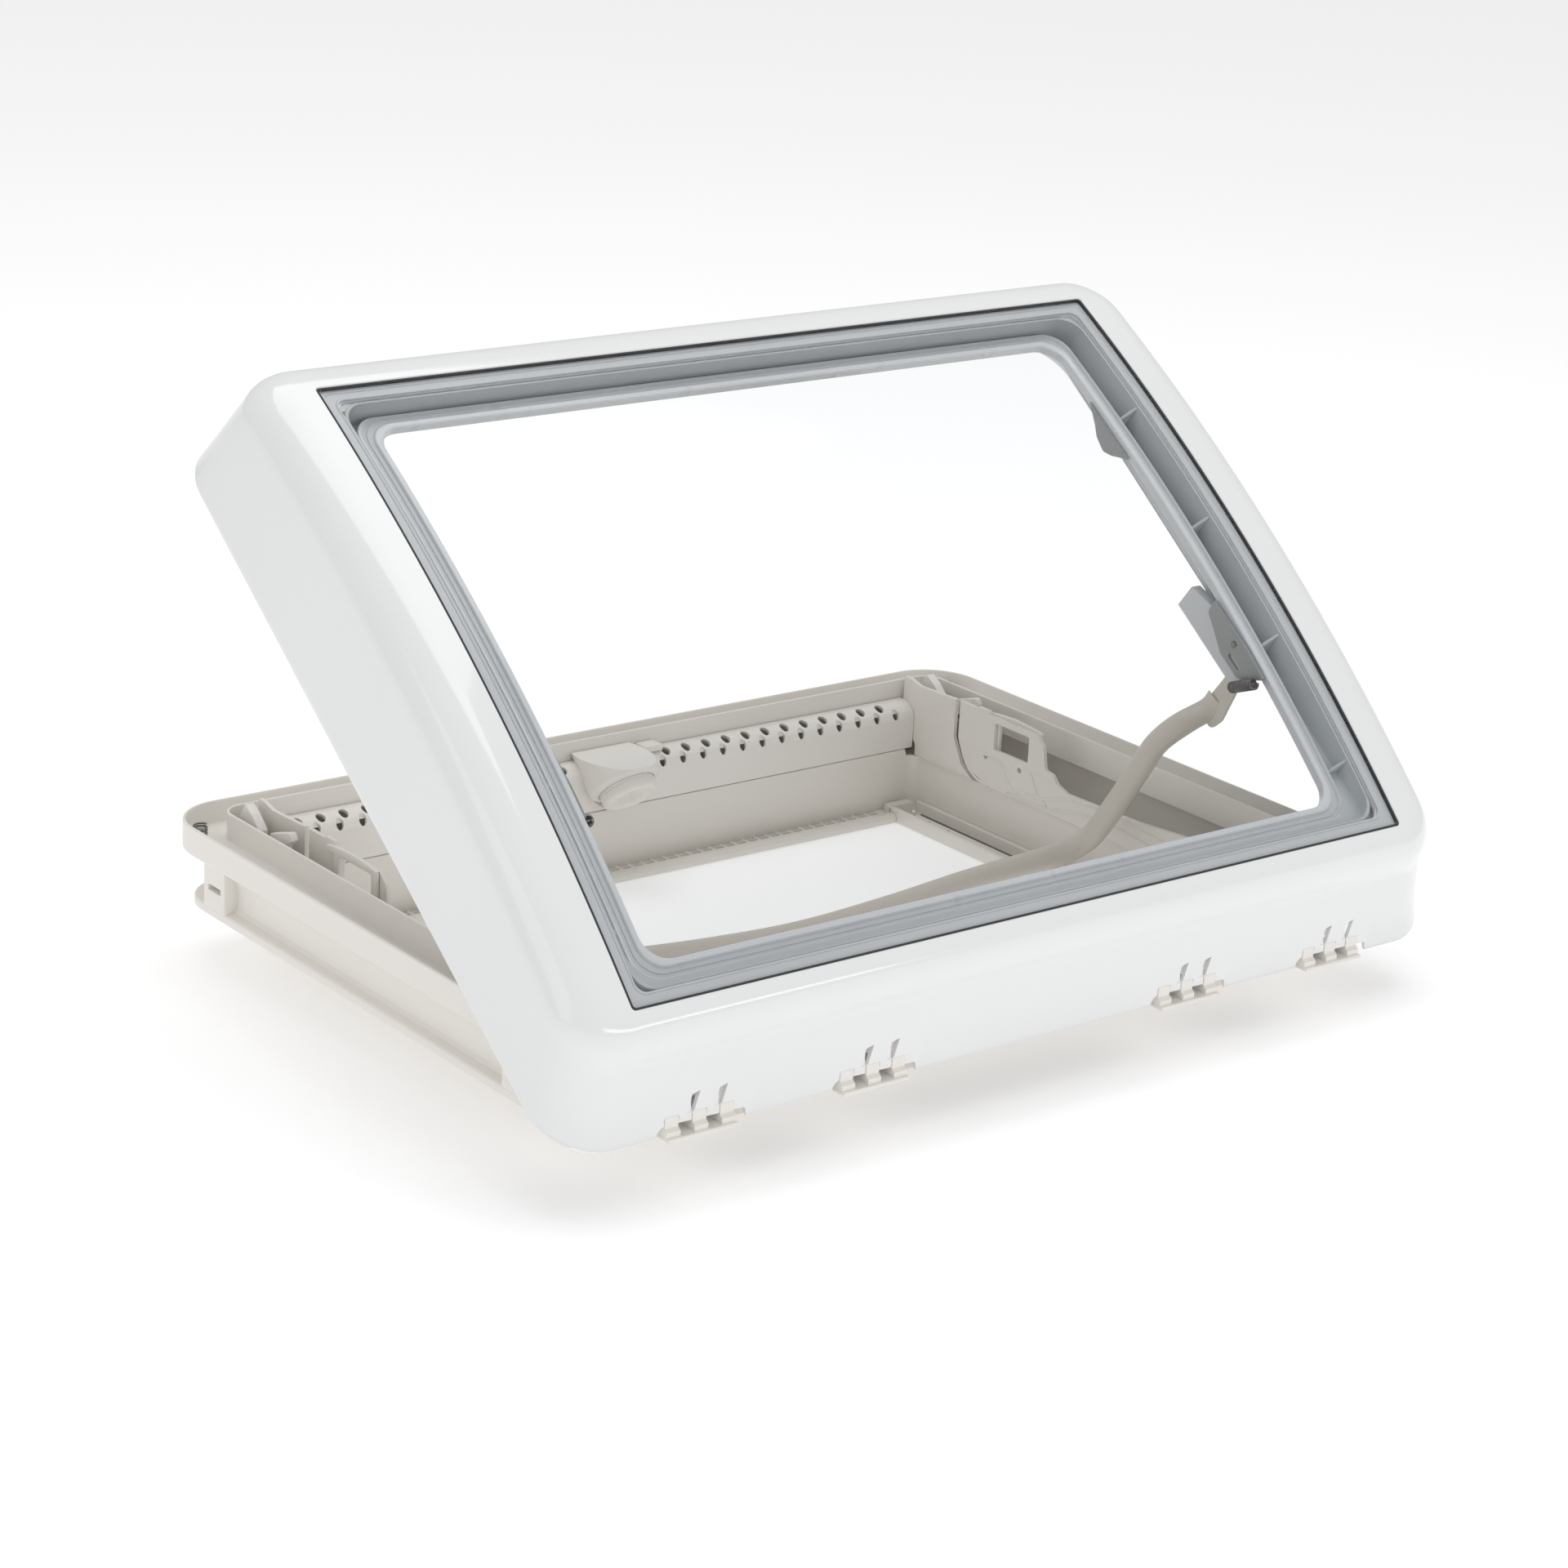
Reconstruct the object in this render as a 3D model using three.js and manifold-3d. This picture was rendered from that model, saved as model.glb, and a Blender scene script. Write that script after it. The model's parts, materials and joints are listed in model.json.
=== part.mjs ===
// Caravan roof window: a moulded roof frame with a hinged double-glazed lid and a bow handle.
// Millimetres, +Z up, +X along the hinge. Z 0 is the roof skin, the hinge side is at low Y.
import * as THREE from 'three';
import { mergeVertices } from 'three/addons/utils/BufferGeometryUtils.js';
import Module from 'manifold-3d';

const wasm = await Module();
wasm.setup();

// Overall sizes
const frameHalf = 385; // half length of the roof frame's outer band
const frameDepth = 534; // hinge side to opening side of that band
const frameNear = -12; // the band's hinge-side face
const frameTop = 68; // the band's top edge above the roof
const frameRadius = 45; // corner radius of the band
const openAngle = 36.62; // lid angle in the rest pose, degrees
const lidOverhang = 30; // the lid runs past the band by this at each end
const lidFarOverhang = 40; // and by this at the opening side

// Fits and wall thicknesses
const gap = 0.3; // pieces that touch stand this far apart
const pinClearance = 0.09; // hinge pin in its bores, on the radius
const slideClearance = 0.4; // push button in its collar, on the radius
const mouldWall = 2.5;
const sheetWall = 3;
const lidWall = 3;

// Roof frame
const bandWall = 2.5;
const bandBottom = 45;
const gutterFloor = 50;
const rimInsetX = 34; // band face to the rim's outer face at the ends
const rimInsetY = 27; // the same at the hinge and opening sides
const rimWall = 2;
const rimTop = 72;
const recessInset = 19;
const beadInset = 9;
const beadTop = 8;
const flangeThick = 4;
const postLength = 30;
const postInset = 7;

// Liner through the roof
const linerInsetX = 62;
const linerInsetY = 47;
const linerWall = 3;
const linerBottom = -40;
const linerSideTop = 10.2;
const linerFrontTop = 16.2;
const linerRadius = 14;
const linerLip = 6;

// Guide rails and ledges round the opening
const railWidth = 33.7;
const railLipWidth = 4;
const railLipTop = -28;
const railFloor = -38;
const ledgeTop = -34;
const grilleDepth = 11;
const grillePitch = 11.8;
const grilleWindow = 9.5;
const grilleWindowDepth = 3.6;
const noseDepth = 10;

// Side panels
const panelInset = 68;
const panelThick = 3.5;
const panelBottom = 10.8;
const trackWidth = 6;

// Cover over the blind housing
const coverBottom = 16.8;
const coverTop = 56;
const coverFrontInset = 50;
const ventPitch = 20.5;
const ventLength = 9;
const ventHeight = 4;
const ventReach = 300;

// Push button
const buttonRadius = 23.5;
const buttonTilt = 46; // the button faces into the room, this far below level
const buttonReach = 76; // band's far face back to the middle of the button's face
const buttonHeight = 34;
const buttonLength = 30;
const buttonStem = 7;
const collarRadius = 30;
const collarSetback = 19;
const collarRoof = 66;

// Hinge
const hingeY = -44;
const hingeZ = 16;
const pinRadius = 2.5;
const pinSides = 16;
const stations = [-298, -149, 149, 298];
const bracketLength = 58;
const bracketWindow = 11.5;
const bracketBlock = 11.5;
const knuckleRadius = 5.4;
const blockRadius = 5.9;
const notchLength = 79;
const notchTop = 7.4;
const tabLength = 10.5;

// Lid, in its own closed frame: v away from the hinge axis, w above it
const lidNear = -8.75;
const lidBottom = -10.3;
const lidRadius = 45;
const shoulderNear = 23;
const shoulderDrop = 28;
const shoulderInset = 8;
const shoulderFarInset = 9;
const borderNear = 41;
const borderInset = 39;
const borderFarInset = 37;
const borderRadius = 24;
const glassNear = 47.3;
const glassInset = 56.1;
const glassFarInset = 43.1;
const rebateWidth = 12;
const rebateDepth = 5.4;
const crownHeight = 18;
const nearHeight = 72;
const farRise = 22.9;
const paneThick = 3;
const sealThick = 1.6;

// Inner frame of the lid
const troughOuterInset = 69;
const troughOuterNear = 60;
const troughOuterFarInset = 56;
const troughWall = 2;
const troughNearHeight = 59;
const troughFarHeight = 66;
const troughFloor = 2.5;
const troughTopDrop = 6; // trough's outer wall stops this far below the skin
const openingInset = 95; // lid end face to the clear opening
const openingNear = 84;
const openingFarInset = 75;
const lipWidth = 14;
const lipThick = 2;
const lipDrop = 19;
const lipSkirt = 6;
const innerPaneDrop = 15.7;
const ribThick = 2.4;

// Bow handle
const bowPivotV = 233;
const bowPivotW = 68;
const bowInset = 93; // lid end face to the blade's middle plane
const bladeThick = 3;
const bladeWidth = 14;
const tubeRadius = 9.4;
const bowPinRadius = 2.5;

// Pockets beside the side panels
const pawlPivotBack = 94; // band's far face back to the pawl's pivot
const pawlPivotZ = 55;
const pawlPinRadius = 2.5;
const pawlThick = 6;
const pocketMiddle = 50; // band end face to the middle plane of the pocket
const wireRadius = 0.8;
const springPitch = 4.4;

// Derived sizes
const frameFar = frameNear + frameDepth;
const rimHalf = frameHalf - rimInsetX;
const linerHalf = frameHalf - linerInsetX;
const linerNear = frameNear + linerInsetY;
const linerFar = frameFar - linerInsetY;
const roomHalf = linerHalf - linerWall;
const roomNear = linerNear + linerWall;
const roomFar = linerFar - linerWall;
const panelHalf = frameHalf - panelInset;
const lidHalf = frameHalf + lidOverhang;
const lidFar = frameFar - hingeY + lidFarOverhang;
const glassHalf = lidHalf - glassInset;
const glassFar = lidFar - glassFarInset;
const trough = {
  half: lidHalf - troughOuterInset,
  near: troughOuterNear,
  far: lidFar - troughOuterFarInset,
};
const openingHalf = lidHalf - openingInset;

// Colours
const cream = material(0xded8cc, 0.45, 0);
const creamDark = material(0xcfc8bb, 0.5, 0);
const white = material(0xeef0f2, 0.12, 0);
const grey = material(0xafb4b8, 0.4, 0);
const glass = material(0xc9d4da, 0.05, 0);
const rubber = material(0x2a2b2d, 0.8, 0);
const steel = material(0x8b8d90, 0.35, 1);
const taupe = material(0xcbc3b4, 0.4, 0);

const part = new THREE.Group();
part.name = 'roof_window';
const lid = new THREE.Group();
lid.name = 'lid_group';
lid.position.set(0, hingeY, hingeZ);
lid.rotation.x = THREE.MathUtils.degToRad(openAngle);
part.add(lid);

function material(color, roughness, metalness) {
  return new THREE.MeshStandardMaterial({ color, roughness, metalness });
}

function solidOf(geometry) {
  const plain = geometry.clone();
  plain.deleteAttribute('normal');
  plain.deleteAttribute('uv');
  const merged = mergeVertices(plain, 1e-4);
  return new wasm.Manifold(new wasm.Mesh({
    numProp: 3,
    vertProperties: Float32Array.from(merged.attributes.position.array),
    triVerts: Uint32Array.from(merged.index.array),
  }));
}

function geometryOf(solid) {
  const mesh = solid.getMesh();
  const geometry = new THREE.BufferGeometry();
  geometry.setAttribute('position', new THREE.BufferAttribute(Float32Array.from(mesh.vertProperties), 3));
  geometry.setIndex(new THREE.BufferAttribute(Uint32Array.from(mesh.triVerts), 1));
  geometry.computeVertexNormals();
  return geometry;
}

function add(name, solid, look, group = part) {
  const mesh = new THREE.Mesh(geometryOf(solid), look);
  mesh.name = name;
  group.add(mesh);
  return mesh;
}

// The same solid on the other side of the YZ plane
function mirrored(solid) {
  const geometry = geometryOf(solid);
  const position = geometry.attributes.position;
  for (let i = 0; i < position.count; i += 1) {
    position.setX(i, -position.getX(i));
  }
  const index = geometry.index;
  for (let i = 0; i < index.count; i += 3) {
    const first = index.getX(i);
    index.setX(i, index.getX(i + 1));
    index.setX(i + 1, first);
  }
  return solidOf(geometry);
}

function addPair(name, solid, look, group = part) {
  add(`${name}_right`, solid, look, group);
  add(`${name}_left`, mirrored(solid), look, group);
}

function box(x0, x1, y0, y1, z0, z1) {
  const geometry = new THREE.BoxGeometry(x1 - x0, y1 - y0, z1 - z0);
  geometry.translate((x0 + x1) / 2, (y0 + y1) / 2, (z0 + z1) / 2);
  return solidOf(geometry);
}

// A flat outline in Y and Z, pushed out along X
function plate(points, x0, x1) {
  const shape = new THREE.Shape(points.map(([y, z]) => new THREE.Vector2(y, z)));
  const geometry = new THREE.ExtrudeGeometry(shape, { depth: x1 - x0, bevelEnabled: false });
  const turn = new THREE.Matrix4().set(0, 0, 1, x0, 1, 0, 0, 0, 0, 1, 0, 0, 0, 0, 0, 1);
  geometry.applyMatrix4(turn);
  return solidOf(geometry);
}

// A round bar between two points
function bar(from, to, radius, sides = 24, endRadius = radius) {
  const start = new THREE.Vector3(...from);
  const end = new THREE.Vector3(...to);
  const length = start.distanceTo(end);
  const geometry = new THREE.CylinderGeometry(endRadius, radius, length, sides);
  const along = end.clone().sub(start).normalize();
  geometry.applyQuaternion(new THREE.Quaternion().setFromUnitVectors(new THREE.Vector3(0, 1, 0), along));
  geometry.translate(...start.add(end).multiplyScalar(0.5).toArray());
  return solidOf(geometry);
}

// A capsule-shaped cutter between two points in a YZ plane, pushed along X
function slotCutter(y0, z0, y1, z1, width, x0, x1, sides = 10) {
  const angle = Math.atan2(z1 - z0, y1 - y0);
  const points = [];
  for (let i = 0; i <= sides; i += 1) {
    const turn = angle - Math.PI / 2 + (Math.PI * i) / sides;
    points.push([y1 + (width / 2) * Math.cos(turn), z1 + (width / 2) * Math.sin(turn)]);
  }
  for (let i = 0; i <= sides; i += 1) {
    const turn = angle + Math.PI / 2 + (Math.PI * i) / sides;
    points.push([y0 + (width / 2) * Math.cos(turn), z0 + (width / 2) * Math.sin(turn)]);
  }
  return plate(points, x0, x1);
}

// Points round a rectangle with round corners, side runs divided so they can follow a curve
function ringPoints({ near, far, half, radius }, corner, runs) {
  const points = [];
  const centres = [
    [half - radius, near + radius, -90],
    [half - radius, far - radius, 0],
    [radius - half, far - radius, 90],
    [radius - half, near + radius, 180],
  ];
  for (const [index, [x, y, start]] of centres.entries()) {
    for (let i = 0; i <= corner; i += 1) {
      const turn = THREE.MathUtils.degToRad(start + (90 * i) / corner);
      points.push([x + radius * Math.cos(turn), y + radius * Math.sin(turn)]);
    }
    for (let i = 1; i < runs && index % 2 === 0; i += 1) {
      const share = index === 0 ? i / runs : 1 - i / runs;
      points.push([index === 0 ? half : -half, near + radius + (far - near - 2 * radius) * share]);
    }
  }
  return points;
}

// A body through a stack of such outlines; a height is a number or a rule that depends on Y
function loft(levels, corner = 6, runs = 1) {
  const rings = levels.map((level) => ringPoints(level, corner, runs));
  const count = rings[0].length;
  const positions = [];
  for (const [index, ring] of rings.entries()) {
    const { height } = levels[index];
    for (const [x, y] of ring) {
      positions.push(x, y, typeof height === 'function' ? height(y) : height);
    }
  }
  const triangles = [];
  for (let i = 1; i < count - 1; i += 1) {
    triangles.push(0, i + 1, i);
    const top = (rings.length - 1) * count;
    triangles.push(top, top + i, top + i + 1);
  }
  for (let level = 0; level + 1 < rings.length; level += 1) {
    for (let i = 0; i < count; i += 1) {
      const next = (i + 1) % count;
      const low = level * count;
      const high = low + count;
      triangles.push(low + i, low + next, high + next, low + i, high + next, high + i);
    }
  }
  const geometry = new THREE.BufferGeometry();
  geometry.setAttribute('position', new THREE.Float32BufferAttribute(positions, 3));
  geometry.setIndex(triangles);
  return solidOf(geometry);
}

// A coil spring between two points
function coil(from, to, radius, hookLength = 0) {
  const start = new THREE.Vector3(...from);
  const end = new THREE.Vector3(...to);
  const length = start.distanceTo(end) - 2 * hookLength;
  const turns = Math.max(3, Math.round(length / springPitch));
  const points = [];
  if (hookLength > 0) {
    points.push(new THREE.Vector3(0, 0, -hookLength));
  }
  const steps = turns * 7;
  for (let i = 0; i <= steps; i += 1) {
    const turn = (2 * Math.PI * turns * i) / steps;
    points.push(new THREE.Vector3(radius * Math.cos(turn), radius * Math.sin(turn), (length * i) / steps));
  }
  if (hookLength > 0) {
    points.push(new THREE.Vector3(0, 0, length + hookLength));
  }
  const path = new THREE.CatmullRomCurve3(points, false, 'centripetal');
  const section = new THREE.Shape();
  section.absarc(0, 0, wireRadius, 0, 2 * Math.PI, false);
  const geometry = new THREE.ExtrudeGeometry(section, {
    steps: steps + 4,
    curveSegments: 3,
    bevelEnabled: false,
    extrudePath: path,
  });
  const along = end.clone().sub(start).normalize();
  geometry.applyQuaternion(new THREE.Quaternion().setFromUnitVectors(new THREE.Vector3(0, 0, 1), along));
  start.addScaledVector(along, hookLength);
  geometry.translate(...start.toArray());
  return solidOf(geometry);
}

const inset = (x, y, height) => ({
  near: frameNear + y,
  far: frameFar - y,
  half: frameHalf - x,
  radius: Math.max(frameRadius - Math.min(x, y), 8),
  height,
});

// Roof frame: flange, concave neck, outer band, gutter and inner rim in one moulding
function roofFrame() {
  const shell = loft([
    inset(beadInset, beadInset, 0),
    inset(beadInset, beadInset, beadTop - 2),
    inset(beadInset + 2, beadInset + 2, beadTop),
    inset(recessInset - 3, recessInset - 3, beadTop + 2),
    inset(recessInset, recessInset, beadTop + 12),
    inset(recessInset - 2, recessInset - 2, bandBottom - 9),
    inset(recessInset - 10, recessInset - 10, bandBottom - 1),
    inset(1, 1, bandBottom),
    inset(0, 0, bandBottom + 1.5),
    inset(0, 0, frameTop - 1),
    inset(0.8, 0.8, frameTop),
  ]);
  const rimBlock = loft([
    inset(rimInsetX, rimInsetY, bandBottom),
    inset(rimInsetX, rimInsetY, rimTop),
  ]);
  const gutter = loft([
    inset(bandWall, bandWall, gutterFloor),
    inset(bandWall, bandWall, frameTop + 10),
  ]);
  const hollow = loft([
    inset(rimInsetX + rimWall, rimInsetY + rimWall, gutterFloor - mouldWall - 1),
    inset(rimInsetX + rimWall, rimInsetY + rimWall, rimTop + 10),
  ]);
  const belly = loft([
    inset(recessInset + mouldWall, recessInset + mouldWall, flangeThick),
    inset(recessInset + mouldWall, recessInset + mouldWall, gutterFloor - mouldWall),
  ]);
  const opening = loft([
    inset(linerInsetX - gap, linerInsetY - gap, -5),
    inset(linerInsetX - gap, linerInsetY - gap, flangeThick + 5),
  ].map((level) => ({ ...level, radius: linerRadius })));
  let body = shell.subtract(gutter).add(rimBlock).subtract(hollow).subtract(belly).subtract(opening);
  for (const side of [-1, 1]) {
    for (const y of [frameNear + frameRadius + 8, frameFar - frameRadius - 8 - postLength]) {
      const x0 = side > 0 ? frameHalf - recessInset - 1 : -frameHalf + postInset;
      const x1 = side > 0 ? frameHalf - postInset : -frameHalf + recessInset + 1;
      const post = box(x0, x1, y, y + postLength, beadTop - 1, bandBottom + 1);
      const window = box(side > 0 ? x1 - 5 : x0 - 1, side > 0 ? x1 + 1 : x0 + 5, y + 6, y + 24, 22, 27);
      body = body.add(post.subtract(window));
    }
  }
  return body;
}
add('roof_frame', roofFrame(), cream);

// Liner that goes down through the roof, hung on a small lip
const linerRing = (offset, height) => ({
  near: linerNear + offset,
  far: linerFar - offset,
  half: linerHalf - offset,
  radius: linerRadius - offset,
  height,
});
function liner() {
  const sleeve = loft([linerRing(0, linerBottom), linerRing(0, linerFrontTop)]);
  const lip = loft([linerRing(-linerLip, flangeThick + gap), linerRing(-linerLip, flangeThick + gap + 2)]);
  const bore = loft([linerRing(linerWall, linerBottom - 1), linerRing(linerWall, linerFrontTop + 1)]);
  let body = sleeve.add(lip).subtract(bore);
  for (const side of [-1, 1]) {
    const inner = side * (roomHalf - 4);
    const outer = side * (linerHalf + 1);
    body = body.subtract(box(
      Math.min(inner, outer), Math.max(inner, outer),
      linerNear - 1, linerFar + 1, linerSideTop, linerFrontTop + 2,
    ));
  }
  return body;
}
add('roof_liner', liner(), cream);

// Guide rails along both ends of the opening, open channels for the blind's side cords
const railOuter = roomHalf - gap;
const railInner = railOuter - railWidth;
const railStart = roomNear + gap;
const railEnd = roomFar - gap;
const cornerCut = 11;
function guideRail() {
  const outline = box(railInner, railOuter, railStart, railEnd, linerBottom, railLipTop);
  const channel = box(
    railInner + railLipWidth, railOuter - railLipWidth,
    railStart + 12, railEnd - 12, railFloor, railLipTop + 1,
  );
  const corners = [railStart, railEnd].map((y) => bar(
    [railOuter, y, linerBottom - 1], [railOuter, y, railLipTop + 1], cornerCut, 4,
  ));
  return outline.subtract(channel).subtract(corners[0]).subtract(corners[1]);
}
addPair('guide_rail', guideRail(), creamDark);

// Ledge with the ventilation grille on the opening side and a rounded nose
const ledgeHalf = railInner - gap;
function ledge(withGrille) {
  const y1 = railEnd;
  const y0 = y1 - grilleDepth;
  let body = plate([
    [y1, linerBottom], [y1, ledgeTop], [y0, ledgeTop], [y0 - 3, ledgeTop + 1.5],
    [y0 - noseDepth + 2.5, ledgeTop + 1], [y0 - noseDepth, ledgeTop - 1.5], [y0 - noseDepth, linerBottom],
  ], -ledgeHalf, ledgeHalf);
  if (withGrille) {
    const count = Math.floor((2 * ledgeHalf - 20) / grillePitch / 2);
    for (let i = 0; i < count; i += 1) {
      const x = (i - (count - 1) / 2) * grillePitch * 2;
      body = body.subtract(box(
        x - grilleWindow / 2, x + grilleWindow / 2,
        y0 + 4.5, y0 + 4.5 + grilleWindowDepth, ledgeTop - 3, ledgeTop + 1,
      ));
    }
  }
  return body;
}
add('grille_ledge', ledge(true), cream);
const turnAbout = new THREE.Matrix4().makeRotationZ(Math.PI)
  .setPosition(0, roomNear + roomFar, 0);
add('hinge_ledge', solidOf(geometryOf(ledge(false)).applyMatrix4(turnAbout)), cream);

// Side panels with the bow's guide tracks
const far = (offset) => frameFar - offset;
function sidePanel() {
  const low = roomNear + 2;
  const outline = [
    [low, panelBottom], [far(53), panelBottom], [far(53), 20], [far(34), 44], [far(34), 76.5], [far(42), 76.5],
    [far(55), 73], [far(86), 74], [far(105), 75], [far(130), 75], [far(130), 76.5], [far(145), 76.5], [far(145), 73],
    [far(205), 73], [far(214), 65], [far(218), 46], [far(227), 45], [far(234), 38], [far(246), 34],
    [far(330), 36], [low + 60, 44], [low + 20, 44], [low, 34],
  ];
  const inner = panelHalf;
  const outer = panelHalf + panelThick;
  let body = plate(outline, inner, outer);
  const cut = (y0, z0, y1, z1, width = trackWidth) => slotCutter(
    far(y0), z0, far(y1), z1, width, inner - 1, outer + 1,
  );
  body = body.subtract(cut(105, 90, 105, 42));
  body = body.subtract(cut(105, 42, 119, 22));
  body = body.subtract(cut(119, 22, 138, 17));
  body = body.subtract(cut(178, 22, 239, 26));
  body = body.subtract(box(inner - 1, outer + 1, far(196), far(153), 45, 68));
  for (const y of [144, 186.5]) {
    body = body.subtract(bar([inner - 1, far(y), 36.5], [outer + 1, far(y), 36.5], 2.4, 12));
  }
  return body;
}
addPair('side_panel', sidePanel(), cream);

// Snap clip behind each panel's window
function snapClip() {
  const inner = panelHalf + panelThick + gap;
  const outer = inner + 3.6;
  const posts = box(inner, outer, far(155), far(149), 36, 70).add(box(inner, outer, far(206), far(200), 36, 70));
  const head = plate([
    [far(206), 69], [far(138), 69], [far(138), 73], [far(149), 74.5], [far(172), 76], [far(197), 74.5], [far(206), 73],
  ], inner, outer);
  const foot = box(inner, outer, far(206), far(149), 33, 38);
  return posts.add(head).add(foot);
}
addPair('snap_clip', snapClip(), cream);

// Cover of the blind housing on the opening side, with two rows of vents
const coverFront = frameFar - coverFrontInset;
const coverBack = frameFar - rimInsetY - rimWall - 1;
const coverEnd = panelHalf - gap;
const buttonAxis = new THREE.Vector3(
  0,
  Math.cos(THREE.MathUtils.degToRad(buttonTilt)),
  Math.sin(THREE.MathUtils.degToRad(buttonTilt)),
);
const buttonFace = new THREE.Vector3(0, frameFar - buttonReach, buttonHeight);
const alongButton = (distance) => buttonFace.clone().addScaledVector(buttonAxis, distance).toArray();
function coverProfile(front, back, bottom, drop) {
  return [
    [front, bottom], [front, coverTop - 12 - drop], [front + 2, coverTop - 6 - drop],
    [front + 7, coverTop - 2 - drop], [front + 13, coverTop - drop], [back, coverTop - drop],
  ];
}
function blindCover() {
  const outer = coverProfile(coverFront, coverBack, coverBottom, 0);
  const inner = coverProfile(coverFront + mouldWall, coverBack, coverBottom, mouldWall).reverse();
  let body = plate([...outer, ...inner], -coverEnd, coverEnd);
  const count = Math.floor(ventReach / ventPitch);
  for (let i = -count; i <= count; i += 1) {
    const x = i * ventPitch;
    if (Math.abs(x) < collarRadius + ventLength) {
      continue;
    }
    const vent = (middle, y0, z0, y1, z1) => {
      const ends = [-1, 1].map((side) => {
        const shift = (side * (ventLength - ventHeight)) / 2;
        return bar([middle + shift, y0, z0], [middle + shift, y1, z1], ventHeight / 2, 4);
      });
      return ends[0].add(ends[1]).hull();
    };
    body = body.subtract(vent(x, coverFront + 4, coverTop + 6, coverFront + 12, coverTop - 8));
    body = body.subtract(vent(x + ventPitch / 2, coverFront - 2, coverTop - 14, coverFront + 5, coverTop - 14));
  }
  body = body.subtract(bar(alongButton(0), alongButton(60), collarRadius + gap, 32));
  return body;
}
add('blind_cover', blindCover(), cream);

// Plainer cover on the hinge side, under the screen housing
const hingeCoverBack = frameNear + rimInsetY + rimWall + 1;
const hingeCoverFront = roomNear + 1;
add('hinge_cover', plate([
  [hingeCoverFront, coverBottom], [hingeCoverFront, 40], [hingeCoverFront - 6, 47], [hingeCoverBack, 49],
  [hingeCoverBack, 46.5], [hingeCoverFront - 7, 44.6], [hingeCoverFront - mouldWall, 39],
  [hingeCoverFront - mouldWall, coverBottom],
], -coverEnd, coverEnd), cream);

// Push button with its collar, return spring and latch keeper
function buttonCollar() {
  const sleeve = bar(alongButton(collarSetback), alongButton(collarSetback + 40), collarRadius, 32);
  const bore = bar(alongButton(collarSetback - 1), alongButton(buttonLength + buttonStem + 6), buttonRadius + slideClearance, 32);
  const room = box(
    -collarRadius - 1, collarRadius + 1,
    coverFront - 50, coverBack, coverBottom - 10, collarRoof,
  );
  return sleeve.subtract(bore).intersect(room);
}
add('button_collar', buttonCollar(), cream);
function pushButton() {
  const body = bar(alongButton(0.0), alongButton(buttonLength), buttonRadius, 32);
  const edge = bar(alongButton(-1.2), alongButton(0), buttonRadius - 2, 32, buttonRadius);
  const dimple = bar(alongButton(-2.2), alongButton(1.2), buttonRadius - 6, 32, buttonRadius - 11);
  const cavity = bar(alongButton(14), alongButton(buttonLength + 1), 14, 24);
  return body.add(edge).subtract(dimple).subtract(cavity);
}
add('push_button', pushButton(), cream);
add('button_spring', coil(alongButton(14.9), alongButton(buttonLength + buttonStem + 4.5), 8), steel);
add('latch_keeper', box(36, 54, coverBack - 14, coverBack, coverTop + gap, coverTop + 5), creamDark);

// Hinge brackets with their pins, four stations along the hinge side
function hingeBracket(middle) {
  const half = bracketLength / 2;
  const flangeEdge = frameNear + beadInset - gap;
  let body = plate([
    [hingeY - 8, 0.6], [flangeEdge, 0.6], [flangeEdge, 4], [hingeY + 10, 4], [hingeY - 7, 3.2], [hingeY - 8, 2.6],
  ], middle - half, middle + half);
  const profile = [[hingeY - 4, 2], [hingeY + 16, 2], [hingeY + blockRadius, hingeZ - 3]];
  for (let i = 0; i <= 8; i += 1) {
    const turn = (Math.PI * i) / 8;
    profile.push([hingeY + blockRadius * Math.cos(turn), hingeZ + blockRadius * Math.sin(turn)]);
  }
  profile.push([hingeY - blockRadius, 5]);
  const step = bracketBlock + bracketWindow;
  for (let i = -1; i <= 1; i += 1) {
    const x = middle + i * step;
    body = body.add(plate(profile, x - bracketBlock / 2, x + bracketBlock / 2));
  }
  return body.subtract(bar(
    [middle - half - 1, hingeY, hingeZ], [middle + half + 1, hingeY, hingeZ], pinRadius + pinClearance, pinSides,
  ));
}
const pinHalf = (3 * bracketBlock + 2 * bracketWindow) / 2 + 0.5;
for (const [index, middle] of stations.entries()) {
  add(`hinge_bracket_${index + 1}`, hingeBracket(middle), cream);
  add(`hinge_pin_${index + 1}`, bar(
    [middle - pinHalf, hingeY, hingeZ], [middle + pinHalf, hingeY, hingeZ], pinRadius, pinSides,
  ), steel);
}

// Lid surfaces: height of the outer skin above the hinge axis
const crownMiddle = (glassNear + glassFar) / 2;
const crownSpan = (glassFar - glassNear) / 2;
const skin = (v) => nearHeight + ((v - glassNear) * farRise) / (glassFar - glassNear)
  + crownHeight * (1 - ((v - crownMiddle) / crownSpan) ** 2);
const under = (drop) => (v) => skin(v) - drop;
const lidRuns = 8;

// Everything below the outer skin lowered by the given depth
function underSkin(drop) {
  const steps = 22;
  const start = lidNear - 30;
  const end = lidFar + 30;
  const points = [[start, -60], [end, -60]];
  for (let i = steps; i >= 0; i -= 1) {
    const v = start + ((end - start) * i) / steps;
    points.push([v, skin(v) - drop]);
  }
  return plate(points, -lidHalf - 20, lidHalf + 20);
}

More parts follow.
